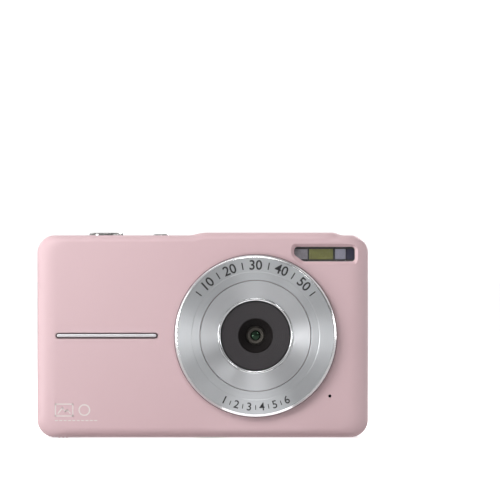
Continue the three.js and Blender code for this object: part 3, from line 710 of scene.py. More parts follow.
# %% [markdown]
# ## Front cover
#
# The front cover is a moulded tray, sprayed in satin pink. Its front edge isn't a plain quarter circle: at
# the two ends it runs in much further than at the top and bottom, which makes the body look thinner in the
# hand. So the cap of the prism is extruded step by step, and each step shrinks it by its own amount on each
# side. The openings are cut by a boolean. The cavity leaves a wall of real thickness, which shows in the
# battery bay and round the lens.

# %% Front cover's round edge
EDGE_DEPTH = 3.0
EDGE_ENDS = 5.6
EDGE_BOTTOM = 3.0
EDGE_TOP = 2.2
EDGE_STEPS = 12

cover = body_prism(SEAM, FACE + EDGE_DEPTH)
cap = ends_of(cover, 1, FACE + EDGE_DEPTH)[0]
outline_box = (-HALF_WIDTH, HALF_WIDTH, BASE, TOP + HUMP_RISE)
now = outline_box
for step in range(1, EDGE_STEPS + 1):
    angle = math.radians(90) * step / EDGE_STEPS
    run = 1 - math.cos(angle)
    fit = drawn_in(outline_box, EDGE_ENDS * run, EDGE_ENDS * run, EDGE_BOTTOM * run, EDGE_TOP * run)
    cap = fit_cap(cover, cap, now, fit, FACE + EDGE_DEPTH * (1 - math.sin(angle)))
    now = fit
bmesh.ops.recalc_face_normals(cover, faces=cover.faces)
print("front cover before its holes:", len(cover.faces), "faces")

# %% Front cover's openings
FLASH_LOW, FLASH_HIGH = box_of("flash_window")
FLASH_CUT = 2.6  # the window's slanted lower left corner
TRIM_LOW, TRIM_HIGH = box_of("trim_bar")
DOOR_LOW, DOOR_HIGH = box_of("battery_door")
HINGE = Vector((-8.3, 0, BASE + 0.9))
LATCH_LOW, LATCH_HIGH = box_of("battery_latch")
USB_LOW, USB_HIGH = box_of("usb_socket")
SHUTTER = middle_of("shutter_button")
POWER = middle_of("power_button")
SHUTTER_RADIUS = 4.85
POWER_RADIUS = 2.45
TRIPOD = middle_of("tripod_nut")
TRIPOD_RADIUS = 4.5
MICROPHONE = middle_of("microphone")
SCREWS = [middle_of(f"case_screw_{n}") for n in (1, 2, 3, 4)]


def flash_prism(grow, near, far, flare=0.0):
    """The flash window's outline between two depths. A flare widens the far end, most of all at the right."""
    left, right = FLASH_LOW.x - grow, FLASH_HIGH.x + grow
    low, high = FLASH_LOW.z - grow, FLASH_HIGH.z + grow
    cut = FLASH_CUT * Vector((1, 0.73))
    points = [(left + cut.x, low), (right, low), (right, high), (left, high), (left, low + cut.y)]
    bm = prism(points, near, far)
    square = [
        e for e in edges_along(bm, 1) if e.verts[0].co.x > right - 1e-3 or e.verts[0].co.z > high - 1e-3
    ]
    bevel_edges(bm, square, 0.9 + grow, 6)
    slant_end = left + FLASH_CUT + 0.01
    slanted = [e for e in edges_along(bm, 1) if e.verts[0].co.x < slant_end and e.verts[0].co.z < high - 2]
    bevel_edges(bm, slanted, 0.5, 4)
    if flare:
        mouth = [v for v in bm.verts if abs(v.co.y - far) < NEAR]
        wide = Vector((1 + 2 * flare / (right - left), 1, 1 + 2 * flare / (high - low)))
        about = Matrix.Translation((-(left + right) / 2, 0, -(low + high) / 2))
        bmesh.ops.scale(bm, vec=wide, space=about, verts=mouth)
        right_end = [v for v in mouth if v.co.x > (left + right) / 2]
        bmesh.ops.translate(bm, vec=(flare * 0.6, 0, 0), verts=right_end)
    return bm


def slot_prism(low, high, near, far, grow=0.0):
    """A bar with round ends, between two depths."""
    reach = (high.z - low.z) / 2 + grow
    bm = prism(rectangle(low.x - grow, high.x + grow, low.z - grow, high.z + grow), near, far)
    bevel_edges(bm, edges_along(bm, 1), reach * 0.98, 8)
    return bm


cutters = [
    body_prism(FACE + 1.5, SEAM + 1, FLOOR, False),
    body_prism(FACE + 2.2, SEAM + 1, WALL, False, FLOOR),
    rod(13.0, LENS, FACE - 5, FACE + 3, steps=64),
    flash_prism(RUNNING_GAP, FACE + 3, FACE - 1),
    flash_prism(0.12, FLASH_LOW.y + 0.05, FACE - (FLASH_LOW.y + 0.05 - FACE), 1.7),
    slot_prism(TRIM_LOW, TRIM_HIGH, FACE + 0.6, FACE - 1, 0.14),
    countersunk(0.45, MICROPHONE, FACE, 1, 3, "Y", 0.08, 24),
    countersunk(SHUTTER_RADIUS + KEY_GAP, SHUTTER, TOP, -1, 3, "Z", 0.15, 64),
    countersunk(POWER_RADIUS + KEY_GAP, POWER, TOP, -1, 3, "Z", 0.15, 48),
    countersunk(TRIPOD_RADIUS + 0.15, TRIPOD, BASE, 1, FLOOR + 1, "Z", 0.12, 48),
    rounded_block((44, USB_LOW.y - 0.1, USB_LOW.z - 0.1), (49, USB_HIGH.y + 0.1, USB_HIGH.z + 0.1), 1.6),
    eased_box(
        (DOOR_LOW.x - RUNNING_GAP, DOOR_LOW.y - RUNNING_GAP, BASE - 1),
        (DOOR_HIGH.x + RUNNING_GAP, DOOR_HIGH.y + RUNNING_GAP, BASE + FLOOR + 1),
        BASE,
    ),
    rod(0.45, HINGE, DOOR_LOW.y - 0.7, SEAM + 1, steps=16),
    box_cutter(
        (DOOR_LOW.x - 1.2, LATCH_LOW.y - 0.1, BASE + 0.65), (DOOR_LOW.x, LATCH_HIGH.y + 0.1, BASE + 1.25)
    ),
]
for screw in SCREWS:
    way = 1 if screw.x > 0 else -1
    edge = HALF_WIDTH * way
    cutters.append(countersunk(1.55, screw, edge, -way, 1.05, "X", 0.12, 32))
    cutters.append(rod(0.75, screw, edge - 3 * way, edge, "X", 16))
cover = combine(cover, cutters)
finish_piece(cover, "front_shell", "case", PINK, ["front_cover"])

# %% [markdown]
# ## Rear cover
#
# The rear cover closes the tray. Behind the screen it swells to a low plateau whose sides sweep down
# softly, and the key panel beside it stays flat. The plateau is a loft: its cap is extruded in small steps
# along an S curve while it shrinks, so that it leaves the panel and arrives at its top without a crease.

# %% Rear cover's body
REAR_HIGH = box_of("rear_cover")[1]
PANEL = 10.1  # the key panel's face
REAR_EDGE = 2.0
PLATEAU = (-19.2, 44.6, BASE + 6.0, BASE + 53.3)
PLATEAU_FOOT = (-23.2, 46.2, BASE + 2.9, BASE + 56.6)
PLATEAU_BACK = REAR_HIGH.y

REAR_STEPS = 10
rear = body_prism(SEAM, PANEL - REAR_EDGE)
cap = ends_of(rear, 1, PANEL - REAR_EDGE)[0]
now = outline_box
for step in range(1, REAR_STEPS + 1):
    angle = math.radians(90) * step / REAR_STEPS
    run = REAR_EDGE * (1 - math.cos(angle))
    fit = drawn_in(outline_box, run, run, run, run)
    cap = fit_cap(rear, cap, now, fit, PANEL - REAR_EDGE + REAR_EDGE * math.sin(angle))
    now = fit
bmesh.ops.recalc_face_normals(rear, faces=rear.faces)

SWELL_FOOT = PANEL - 0.02
swell = prism(rectangle(*PLATEAU_FOOT), PANEL - WALL, SWELL_FOOT)
bevel_edges(swell, edges_along(swell, 1), 4.3, 12)
cap = ends_of(swell, 1, SWELL_FOOT)[0]
now = PLATEAU_FOOT
SWELL_STEPS = 16
for step in range(1, SWELL_STEPS + 1):
    part = step / SWELL_STEPS
    rise = part * part * (3 - 2 * part)
    fit = tuple(a + (b - a) * part for a, b in zip(PLATEAU_FOOT, PLATEAU))
    cap = fit_cap(swell, cap, now, fit, SWELL_FOOT + (PLATEAU_BACK - SWELL_FOOT) * rise)
    now = fit
bmesh.ops.recalc_face_normals(swell, faces=swell.faces)
rear = combine(rear, [swell], "UNION")
print("rear cover with its plateau:", len(rear.faces), "faces")

# %% Rear cover's openings
WINDOW_LOW, WINDOW_HIGH = box_of("screen_window")
SCREEN_OPENING = (-12.9, 38.1, BASE + 10.3, BASE + 49.0)
KEYS = ["zoom_wide_button", "zoom_tele_button", "menu_button", "play_button"]
KEY_RADIUS = {"zoom_wide_button": 3.35, "zoom_tele_button": 3.35, "menu_button": 3.45, "play_button": 3.45}
NAV_HOLE = 9.1
SCREW_HOLE = 0.75
SPEAKER_HOLE = 0.45
STATUS_LOW, STATUS_HIGH = box_of("status_lamp")
SPEAKER_HOLES = [Vector((42.4, 0, BASE + z)) for z in (16.1, 13.6, 11.1)]

tabs = []
for screw in SCREWS:
    way = 1 if screw.x > 0 else -1
    wall_face = (HALF_WIDTH - WALL - RUNNING_GAP) * way
    low_x, high_x = sorted((wall_face - 2.5 * way, wall_face))
    tabs.append(box_cutter((low_x, -1, screw.z - 2.4), (high_x, SEAM + 0.8, screw.z + 2.4)))

recess_outline = rectangle(WINDOW_LOW.x - 0.1, WINDOW_HIGH.x + 0.1, WINDOW_LOW.z - 0.1, WINDOW_HIGH.z + 0.1)
recess = prism(recess_outline, WINDOW_LOW.y - 0.05, PLATEAU_BACK + 1)
bevel_edges(recess, edges_along(recess, 1), 0.6, 6)
opening = prism(rectangle(*SCREEN_OPENING), SEAM, PLATEAU_BACK + 1)
bevel_edges(opening, edges_along(opening, 1), 0.4, 4)
rear_cutters = [body_prism(SEAM - 1, PANEL - WALL, WALL, False), recess, opening]
for name in KEYS:
    rear_cutters.append(countersunk(KEY_RADIUS[name] + KEY_GAP, middle_of(name), PANEL, -1, 2, "Y", 0.18, 48))
rear_cutters.append(countersunk(NAV_HOLE, NAV, PANEL, -1, 2, "Y", 0.18, 80))
rear_cutters.append(slot_prism(STATUS_LOW, STATUS_HIGH, PANEL - 2, PANEL + 1, RUNNING_GAP))
for hole in SPEAKER_HOLES:
    rear_cutters.append(countersunk(SPEAKER_HOLE, hole, PLATEAU_BACK, -1, 6, "Y", 0.1, 24))
screw_holes = [rod(SCREW_HOLE, s, s.x - 4, s.x + 4, "X", 16) for s in SCREWS]
rear = combine(rear, rear_cutters)
rear = combine(rear, tabs, "UNION")
rear = combine(rear, screw_holes)
finish_piece(rear, "rear_shell", "case", PINK, ["rear_cover"])

# %% [markdown]
# ## Lens ring
#
# The big ring is turned from aluminium. Its face is brushed on the lathe, and its outer edge is cut
# afterwards with a diamond, which leaves a bright mirror bevel. So it is made of pieces: a satin face with
# a fine step, the polished bezel round it, a dark skirt where the bezel meets the cover, whose dark reddish
# colour is painted shadow and a painted reflection of the pink cover, and inside a groove the inner ring
# with its bright lip.

# %% Lens ring, bezel and inner ring
RING_LOW, RING_HIGH = box_of("lens_ring_outer")
RING = RING_HIGH.x - LENS.x
RIM = RING_LOW.y
SEAT = RING_HIGH.y
GROOVE = 15.9
LIP = 10.5
DISC = box_of("lens_black_ring")[1].x - LENS.x

RING_STEPS = 160
face_steps = offsets(GROOVE, RIM, [(0.07, 0.36), (0.14, 0.26), (0.28, 0.21)])
face_steps += offsets(0, RIM, [(18.25, 0.19), (18.34, 0.14), (18.40, 0.09), (18.50, 0.06), (20.5, 0.05)])
face_steps.append((RING - 1.02, RIM + 0.05))
face = [(GROOVE + 0.07, SEAT), *face_steps, (RING - 1.02, SEAT)]
bezel_steps = offsets(RING, RIM, [(-1.0, 0.04), (-0.96, 0.0), (-0.90, 0.01), (-0.76, 0.08), (-0.60, 0.17)])
bezel_steps += offsets(RING, RIM, [(-0.44, 0.28), (-0.30, 0.40), (-0.20, 0.54), (-0.16, 0.70)])
bezel = [(RING - 1.0, SEAT), *bezel_steps, (RING - 0.16, SEAT)]
skirt = offsets(RING, SEAT, [(-0.14, 0.0), (-0.14, -0.75), (-0.02, -0.70), (0.0, -0.66), (0.0, 0.0)])
inner_steps = offsets(0, RIM, [(LIP + 0.42, 0.98), (LIP + 0.5, 0.92), (12.5, 0.74), (GROOVE - 0.3, 0.36)])
inner_steps += offsets(GROOVE, RIM, [(-0.14, 0.38), (-0.07, 0.46)])
inner = [(LIP + 0.42, SEAT), *inner_steps, (GROOVE - 0.07, SEAT)]
lip_steps = offsets(DISC, RIM, [(0.1, 1.35), (0.22, 1.08), (0.42, 0.88)])
lip_steps += offsets(LIP, RIM, [(-0.02, 0.78), (0.2, 0.80), (0.36, 0.9), (0.40, 1.02)])
lip = [(DISC + 0.1, SEAT), *lip_steps, (LIP + 0.40, SEAT)]

INNER_METAL = spun("spun_inner_ring", LENS, (0.65, 0.66, 0.68), (0.73, 0.74, 0.76), 0.40, 14000.0, 0.0006)
for name, profile, material, node, slot, sharp_above in (
    ("lens_ring_face", face, RING_METAL, "lens_ring_outer", "brushed_ring", 25),
    ("lens_bezel", bezel, BEZEL, "lens_ring_outer", "chrome_trim", 50),
    # The skirt's dark reddish colour is painted shadow and a painted reflection of the pink cover.
    ("lens_skirt_painted_shade", skirt, PAINTED_SHADE, "lens_ring_outer", "chrome_trim", 50),
    ("lens_inner_face", inner, INNER_METAL, "lens_ring_inner", "brushed_ring", 25),
    ("lens_lip", lip, CHROME, "lens_ring_inner", "chrome_trim", 40),
):
    finish_piece(turned(profile, LENS, steps=RING_STEPS), name, "case", material, [node], sharp_above)

# %% [markdown]
# ## Black disc, barrel and front glass
#
# Inside the ring a black plastic disc falls away in a cone, and steps in the cone trap stray light before
# it reaches the glass. The barrel's nose carries a small domed glass, and its coating turns its reflections
# green. The disc has faint rings from the mould, which are cut into the profile, not painted.

# %% Disc with its light traps
DISC_FACE = -10.68
TRAP_RINGS = 7
disc_profile = [(DISC, -9.1), (DISC, -10.55), (DISC - 0.12, DISC_FACE)]
for ring in range(TRAP_RINGS):
    start = DISC - 0.6 - ring * 0.58, DISC_FACE + 0.02 * ring
    disc_profile += offsets(*start, [(0.0, 0.0), (-0.06, 0.02), (-0.12, 0.0)])
disc_profile += [(5.12, -10.54), (5.0, -10.48), (5.0, -9.1)]
disc = turned(disc_profile, LENS, steps=128)
finish_piece(disc, "lens_disc", "case", BLACK, ["lens_black_ring"], 20)
cone_profile = [(4.97, -10.42), (4.86, -10.46)]
for trap in range(6):
    cone_profile += offsets(4.76 - trap * 0.36, -10.2 + trap * 0.55, [(0.0, 0.0), (-0.04, 0.42)])
cone_profile += [(2.75, -6.9), (2.75, -6.2), (5.9, -6.2), (5.9, -9.05), (4.97, -9.05)]
cone = turned(cone_profile, LENS, steps=112)
finish_piece(cone, "lens_cone", "case", CONE_BLACK, ["lens_black_ring"], 20)

# %% Barrel nose and glass
BARREL_GREY = coated("barrel_grey", (0.095, 0.085, 0.074), (0.118, 0.106, 0.092), 0.5, 0.3, depth=0.003)
GLASS_TONES = (0.003, 0.006, 0.004), (0.006, 0.014, 0.009)
GREEN_COATING = (0.55, 1.0, 0.66, 1)
GLASS_DARK = coated(
    "coated_front_glass", *GLASS_TONES, 0.02, depth=0.0, vary=0.01, IOR=1.65, Specular_Tint=GREEN_COATING
)
barrel = [
    (1.45, -6.3), (1.45, -6.75), (1.55, -6.95), (1.70, -7.02), (1.85, -7.0), (1.92, -7.12), (2.1, -7.2),
    (2.3, -7.16), (2.42, -7.0), (2.5, -6.1), (5, -6.1), (5, -0.6), (1.45, -0.6),
]
nose = turned(barrel, LENS, steps=80)
finish_piece(nose, "barrel_nose", "case", BARREL_GREY, ["lens_barrel"], 40)
GLASS_RADIUS = 1.4
GLASS_EDGE = -6.62
GLASS_RISE = 0.40
dome = [(0, -5.8), (GLASS_RADIUS, -5.8), (GLASS_RADIUS, GLASS_EDGE)]
for step in range(1, 11):
    angle = math.radians(9) * step
    dome.append((GLASS_RADIUS * math.cos(angle), GLASS_EDGE - GLASS_RISE * math.sin(angle)))
dome[-1] = (0, dome[-1][1])
front_glass = turned(dome, LENS, steps=64)
finish_piece(front_glass, "front_glass", "case", GLASS_DARK, ["lens_glass"], 40)
print("lens centre:", [round(v, 2) for v in LENS])

# %% [markdown]
# ## Scale on the lens ring
#
# Such rings carry printed figures. Here they are a plain distance scale, numbers and ticks as on any dial.
# Each figure is a text object that is made a mesh, turned to its place on the arc and pressed thin, so that
# it lies on the metal like ink.

# %% Printed figures and ticks
PRINT_RISE = 0.015


def figure_mesh(text, height, thick):
    """Text as a bmesh, in millimetres, standing on the origin in X and Z and facing the front."""
    curve = bpy.data.curves.new("figure", "FONT")
    curve.body = text
    curve.size = height
    curve.align_x = "CENTER"
    curve.align_y = "CENTER"
    curve.extrude = 0.01
    curve.offset = thick
    curve.resolution_u = 4
    written = bpy.data.objects.new("figure", curve)
    bpy.context.scene.collection.objects.link(written)
    bpy.context.view_layer.update()
    ready = written.evaluated_get(bpy.context.evaluated_depsgraph_get())
    bm = bmesh.new()
    bm.from_mesh(ready.to_mesh())
    ready.to_mesh_clear()
    bpy.data.objects.remove(written)
    bpy.data.curves.remove(curve)
    bmesh.ops.remove_doubles(bm, verts=bm.verts, dist=1e-5)
    bmesh.ops.rotate(bm, cent=(0, 0, 0), matrix=Matrix.Rotation(math.radians(90), 3, "X"), verts=bm.verts)
    return bm


def on_arc(bm, centre, radius, degrees, along, upside=False):
    """Turns a mark to an angle counted from the top, moves it out to a radius and lays it at a depth."""
    lift = -radius if upside else radius
    bmesh.ops.translate(bm, vec=(0, 0, lift), verts=bm.verts)
    turn = Matrix.Rotation(math.radians(degrees), 3, "Y")
    bmesh.ops.rotate(bm, cent=(0, 0, 0), matrix=turn, verts=bm.verts)
    bmesh.ops.translate(bm, vec=(centre.x, along, centre.z), verts=bm.verts)
    return bm


def tick_mesh(width, height):
    return prism(rectangle(-width / 2, width / 2, -height / 2, height / 2), -0.01, 0.01)


marks = []
SCALE_DEPTH = RIM + 0.05 - PRINT_RISE
for text, degrees in (("10", -43), ("20", -21.5), ("30", 0), ("40", 21.5), ("50", 43)):
    marks.append(on_arc(figure_mesh(text, 3.9, 0.05), LENS, 20.15, degrees, SCALE_DEPTH))
for degrees in (-53.5, -32, -10.7, 10.7, 32, 53.5):
    marks.append(on_arc(tick_mesh(0.34, 2.1), LENS, 20.25, degrees, SCALE_DEPTH))
for text, degrees in (("1", 26), ("2", 15.6), ("3", 5.2), ("4", -5.2), ("5", -15.6), ("6", -26)):
    marks.append(on_arc(figure_mesh(text, 3.2, 0.03), LENS, 20.45, degrees, SCALE_DEPTH, True))
for degrees in (20.8, 10.4, 0, -10.4, -20.8):
    marks.append(on_arc(tick_mesh(0.24, 1.3), LENS, 20.5, degrees, SCALE_DEPTH, True))
finish_piece(merged(*marks), "lens_scale", "case", INK, [], weigh=False)

# %% [markdown]
# ## Pale mark
#
# Low on the left such fronts carry a pale print. Here it is a plain sign: a picture frame with a hill, a
# ring beside it, and a row of short dashes underneath.

# %% Pale mark
def stroke(x0, z0, x1, z1, width):
    """A straight printed line between two points, drawn as a thin bar."""
    along = Vector((x1 - x0, z1 - z0)).normalized() * width / 2
    across = Vector((-along.y, along.x))
    first, last = Vector((x0, z0)) - along, Vector((x1, z1)) + along
    return [tuple(corner) for corner in (first - across, last - across, last + across, first + across)]


MARK = Vector((-42.2, 0, BASE + 6.2))
MARK_LINES = [
    (0, 0, 5.0, 0), (5.0, 0, 5.0, 3.4), (5.0, 3.4, 0, 3.4), (0, 3.4, 0, 0), (0.8, 0.8, 2.0, 2.3),
    (2.0, 2.3, 2.9, 1.2), (2.9, 1.2, 3.4, 1.7), (3.4, 1.7, 4.2, 0.8),
]
PRINT = 0.012  # half the thickness of a printed sign
SIGN_RING = [(1.3, PRINT), (1.3, -PRINT), (1.7, -PRINT), (1.7, PRINT)]
dashes = [(n * 1.25, -1.3, n * 1.25 + 0.6, -1.3) for n in range(10)]
mark_parts = [prism(stroke(*line, 0.34), -PRINT, PRINT) for line in MARK_LINES]
mark_parts.append(turned(SIGN_RING, Vector((8.3, 0, 1.7)), steps=48))
mark_parts += [prism(stroke(*dash, 0.3), -PRINT, PRINT) for dash in dashes]
pale_mark = merged(*mark_parts)
bmesh.ops.translate(pale_mark, vec=(MARK.x, FACE - 0.006, MARK.z), verts=pale_mark.verts)
finish_piece(pale_mark, "pale_mark", "case", PALE_INK, [], weigh=False)

# %% [markdown]
# ## Trim bar
#
# A bright half-round bar lies beside the lens. It starts as a bar with round ends, and its front edges are
# bevelled until they meet in a soft crown. Under it lies a wider dark bed of the same shape, whose colour is
# painted shade that draws the fine dark outline in the groove.

# %% Trim bar
BRIGHT_BAR = coated("bright_lacquered_bar", (0.90, 0.90, 0.92), (0.94, 0.94, 0.96), 0.22, 0.4, depth=0.0)
# The bed's dark colour is painted shade in the groove round the bar.
bed = slot_prism(TRIM_LOW, TRIM_HIGH, FACE + 0.55, FACE - 0.02, -0.02)
finish_piece(bed, "trim_bed_painted_shade", "case", PAINTED_SHADE, ["trim_bar"], 40)
raised = Vector((0, 0, 0.06))
CROWN = FACE - 0.34
bar = slot_prism(TRIM_LOW + raised, TRIM_HIGH + raised, FACE, CROWN, -0.33)
ease_end(bar, 1, CROWN, 0.30, 6)
finish_piece(bar, "trim_crown", "case", BRIGHT_BAR, ["trim_bar"], 40)

# %% [markdown]
# ## Flash window
#
# Behind one clear pane lie four small parts: a frosted cell, the yellow-green flash tube's box with its
# ribs, a milky focus lamp and a dark light sensor. Each is a bright face set in a black block, which leaves
# dark lines between them. The ribs of the flash are fine, so they are bumps made by a wave along the strip.
# The slope round the pane belongs to the cover.

# %% Flash parts
def ribbed(name, first, second, roughness, direction, scale, depth, **extra):
    finish = Finish(name)
    finish.tint(finish.group(MOTTLE, "Mask", Scale=700.0), first, second)
    wave = add_node(finish.tree, "TexWave", Scale=scale)
    wave.bands_direction = direction
    finish.link(finish.place, wave.inputs["Vector"])
    finish.bump(wave.outputs["Fac"], depth)
    finish.set(Roughness=roughness, **extra)
    return finish.material


TUBE_TONES = (0.105, 0.105, 0.022), (0.170, 0.165, 0.040)
PHOSPHOR = ribbed("flash_cover", *TUBE_TONES, 0.3, "X", 320.0, 0.05, Coat_Weight=0.4)
FROST = ribbed("frosted_cell", (0.12, 0.105, 0.125), (0.27, 0.245, 0.275), 0.5, "DIAGONAL", 260.0, 0.12)
FOCUS = ribbed("focus_lamp", (0.20, 0.19, 0.245), (0.26, 0.25, 0.31), 0.35, "Z", 90.0, 0.04)
SENSOR = ribbed("light_sensor", (0.018, 0.016, 0.036), (0.034, 0.030, 0.065), 0.15, "Z", 60.0, 0.01)

END_RIM = 0.42
for name, material, slot, left_rim, right_rim in (
    ("flash_diffuser", FROST, "smoke_lens", 0.0, 0.02),
    ("flash_lamp", PHOSPHOR, "phosphor", 0.30, 0.42),
    ("focus_lamp", FOCUS, "smoke_lens", 0.06, 0.0),
    ("light_sensor", SENSOR, "dark_filter", 0.04, 0.10),
):
    low, high = box_of(name)
    frame_block = box_cutter(low + Vector((0, 0.14, 0)), high)
    finish_piece(frame_block, f"{name}_frame", "case", DARK_GAP, [name])
    strip = box_cutter(
        (low.x + left_rim, low.y, low.z + END_RIM), (high.x - right_rim, low.y + 0.3, high.z - END_RIM)
    )
    ease_end(strip, 1, low.y, 0.08)
    finish_piece(strip, f"{name}_face", "case", material, [name])

pane = flash_prism(0.0, FLASH_HIGH.y, FLASH_LOW.y)
ease_end(pane, 1, FLASH_LOW.y, 0.12, 2)
finish_piece(pane, "flash_pane", "case", CLEAR, ["flash_window"], 40)

# %% [markdown]
# ## Shutter and power buttons
#
# Both top buttons are turned metal caps that ride in the wall. The shutter button's top is slightly dished
# and has a bright cut edge. Each one is a spun profile with its flange and stem, so the button is whole
# when it is pressed.

# %% Top buttons
def top_button(name, piece_name, radius, stem, dish):
    low, high = box_of(name)
    flange = (high.x - low.x) / 2
    under = TOP - WALL - KEY_GAP
    profile = [(0, low.z), (stem, low.z), (stem, under - 0.8)]
    profile += [(flange, under - 0.8), (flange, under), (radius, under)]
    profile += offsets(radius, high.z, [(0.0, -0.42), (-0.06, -0.26), (-0.18, -0.11), (-0.36, -0.02)])
    profile += offsets(radius, high.z, [(-0.62, 0.0), (-0.80, -0.04)])
    profile += [(radius * 0.5, high.z - dish * 0.75), (0, high.z - dish)]
    made = turned(profile, middle_of(name), "Z")
    finish_piece(made, piece_name, name.replace("_button", ""), TOP_METAL, [name], 35)


def spun_up(name, centre):
    """Spun metal for a part whose axis stands up: the rings turn about Z."""
    finish = Finish(name)
    turn = finish.moved(finish.centred(centre), Rotation=(math.radians(90), 0, 0))
    groove = finish.group(SPUN, "Height", turn, Rings=16000.0)
    finish.tint(groove, (0.33, 0.325, 0.32), (0.42, 0.41, 0.40))
    finish.bump(groove, 0.0008)
    finish.set(Metallic=1.0, Roughness=0.22)
    return finish.material


TOP_METAL = spun_up("turned_button", middle_of("shutter_button"))
top_button("shutter_button", "shutter_cap", SHUTTER_RADIUS, 1.2, 0.16)
top_button("power_button", "power_cap", POWER_RADIUS, 0.9, 0.08)

# %% [markdown]
# ## Keys on the back
#
# Four round keys have a satin face inside a bright rim, and faint signs printed on them: minus and plus for
# zoom, bars for the menu and a triangle for playing pictures. The rim is a step in the profile, so light
# runs round it as a ring. The sign is a thin raised shape that travels with its key.

# %% Round keys
KEY_FACE = spun("satin_key", LENS, (0.40, 0.42, 0.46), (0.46, 0.48, 0.52), 0.38, 5000.0, 0.0004, 0.1)


def round_key(name, radius):
    low, high = box_of(name)
    face = high.y
    stop = PANEL - WALL - RUNNING_GAP
    flange = (high.x - low.x) / 2
    rim = offsets(radius, face, [(-0.72, -1.0), (-0.72, -0.20), (-0.62, -0.04), (-0.50, 0.0), (-0.34, -0.02)])
    rim += offsets(radius, face, [(-0.14, -0.14), (-0.02, -0.36), (0.0, -0.6)])
    rim += [(radius, stop), (flange, stop), (flange, stop - 0.8), (radius - 0.72, stop - 0.8)]
    cap = [(0, low.y), (1.2, low.y), (1.2, stop - 0.7), (radius - 0.75, stop - 0.7)]
    cap += offsets(radius, face, [(-0.75, -0.30), (-0.85, -0.22), (-1.0, -0.19)])
    cap += [(1.4, face - 0.15), (0, face - 0.14)]
    body = name.replace("_button", "")
    place = middle_of(name)
    finish_piece(turned(rim, place, steps=80), f"{body}_rim", body, CHROME, [name], 40)
    finish_piece(turned(cap, place, steps=64), f"{body}_face", body, KEY_FACE, [name], 40)


for name in KEYS:
    round_key(name, KEY_RADIUS[name])

# %% Signs on the keys
def sign_at(shapes, place, face, name, body, material):
    """Thin printed shapes, drawn in X and Z about the origin and laid on a face that looks back."""
    laid = []
    for shape in shapes:
        bm = prism(shape, -PRINT, PRINT)
        bmesh.ops.translate(bm, vec=(place.x, face + 0.006, place.z), verts=bm.verts)
        laid.append(bm)
    finish_piece(merged(*laid), name, body, material, [], weigh=False)


def bar_shape(width, height, x=0.0, z=0.0):
    return rectangle(x - width / 2, x + width / 2, z - height / 2, z + height / 2)


def ring_shape_parts(radius, width, first, last, count):
    """A ring or arc as short bars, each drawn as its own small quad."""
    parts = []
    for step in range(count):
        a = math.radians(first + (last - first) * step / count)
        b = math.radians(first + (last - first) * (step + 1) / count)
        inner, outer = radius - width / 2, radius + width / 2
        points = [(inner, a), (inner, b), (outer, b), (outer, a)]
        parts.append([(r * math.cos(angle), r * math.sin(angle)) for r, angle in points])
    return parts


KEY_LEVEL = box_of("menu_button")[1].y - 0.14
ROUND_SIGN = ring_shape_parts(1.35, 0.26, 0, 360, 32)
PLUS_ARMS = [bar_shape(0.42, 0.78, 0, 0.6), bar_shape(0.42, 0.78, 0, -0.6)]
SIGNS = {
    "zoom_wide": [bar_shape(2.0, 0.42)],
    "zoom_tele": [bar_shape(2.0, 0.42), *PLUS_ARMS],
    "menu": [bar_shape(2.1, 0.36, 0, z) for z in (0.7, 0.0, -0.7)],
    "play": [[(0.45, -0.6), (0.45, 0.6), (-0.6, 0.0)], *ROUND_SIGN],
}
for body, shapes in SIGNS.items():
    sign_at(shapes, middle_of(f"{body}_button"), KEY_LEVEL, f"{body}_sign", body, ICON_INK)

# %% [markdown]
# ## Four-way ring and confirm key
#
# The four-way ring is a shallow dish of brushed metal, deepest at the middle, so that a thumb finds its
# edge. The confirm key stands in the dark gap in its middle. The faint signs on the ring are thin prints
# and tilt with it.

# %% Four-way ring
NAV_HIGH = box_of("nav_ring")[1]
NAV_RADIUS = 8.85
NAV_INNER = 4.05
NAV_BACK = NAV_HIGH.y
NAV_FOOT = 8.3
nav_rim_steps = [(-0.62, -0.10), (-0.50, -0.01), (-0.36, 0.0), (-0.18, -0.08), (-0.04, -0.26), (0.0, -0.5)]
nav_rim = [(NAV_RADIUS - 0.62, NAV_FOOT + 0.05), *offsets(NAV_RADIUS, NAV_BACK, nav_rim_steps)]
nav_rim.append((NAV_RADIUS, NAV_FOOT + 0.05))
NAV_FLANGE = NAV_RADIUS + 0.4
nav_dish = [(NAV_INNER, 7.9), (NAV_FLANGE, 7.9), (NAV_FLANGE, NAV_FOOT), (NAV_RADIUS - 0.66, NAV_FOOT)]
nav_dish += offsets(NAV_RADIUS, NAV_BACK, [(-0.66, -0.22), (-0.78, -0.16)])
nav_dish += offsets(NAV_INNER, NAV_BACK, [(0.55, -0.52), (0.28, -0.58), (0.10, -0.72), (0.0, -0.95)])
for name, profile, material, slot, sharp_above in (
    ("nav_rim", nav_rim, CHROME, "chrome_trim", 40),
    ("nav_dish", nav_dish, NAV_METAL, "brushed_ring", 35),
):
    finish_piece(turned(profile, NAV, steps=128), name, "ring", material, ["nav_ring"], sharp_above)

SIGN_OUT = 6.2
nav_signs = []
for turn in (0, 90, 180, 270):
    middle_x, middle_z = SIGN_OUT * math.sin(math.radians(turn)), SIGN_OUT * math.cos(math.radians(turn))
    for part in ring_shape_parts(0.95, 0.22, turn + 20, turn + 300, 18):
        nav_signs.append([(x + middle_x, z + middle_z) for x, z in part])
SIGN_DEPTH = NAV_BACK - 0.36
NAV_INK = coated("faint_print", (0.36, 0.38, 0.40), (0.40, 0.42, 0.44), 0.4, 0.6, depth=0.001)
sign_at(nav_signs, NAV, SIGN_DEPTH, "nav_signs", "ring", NAV_INK)

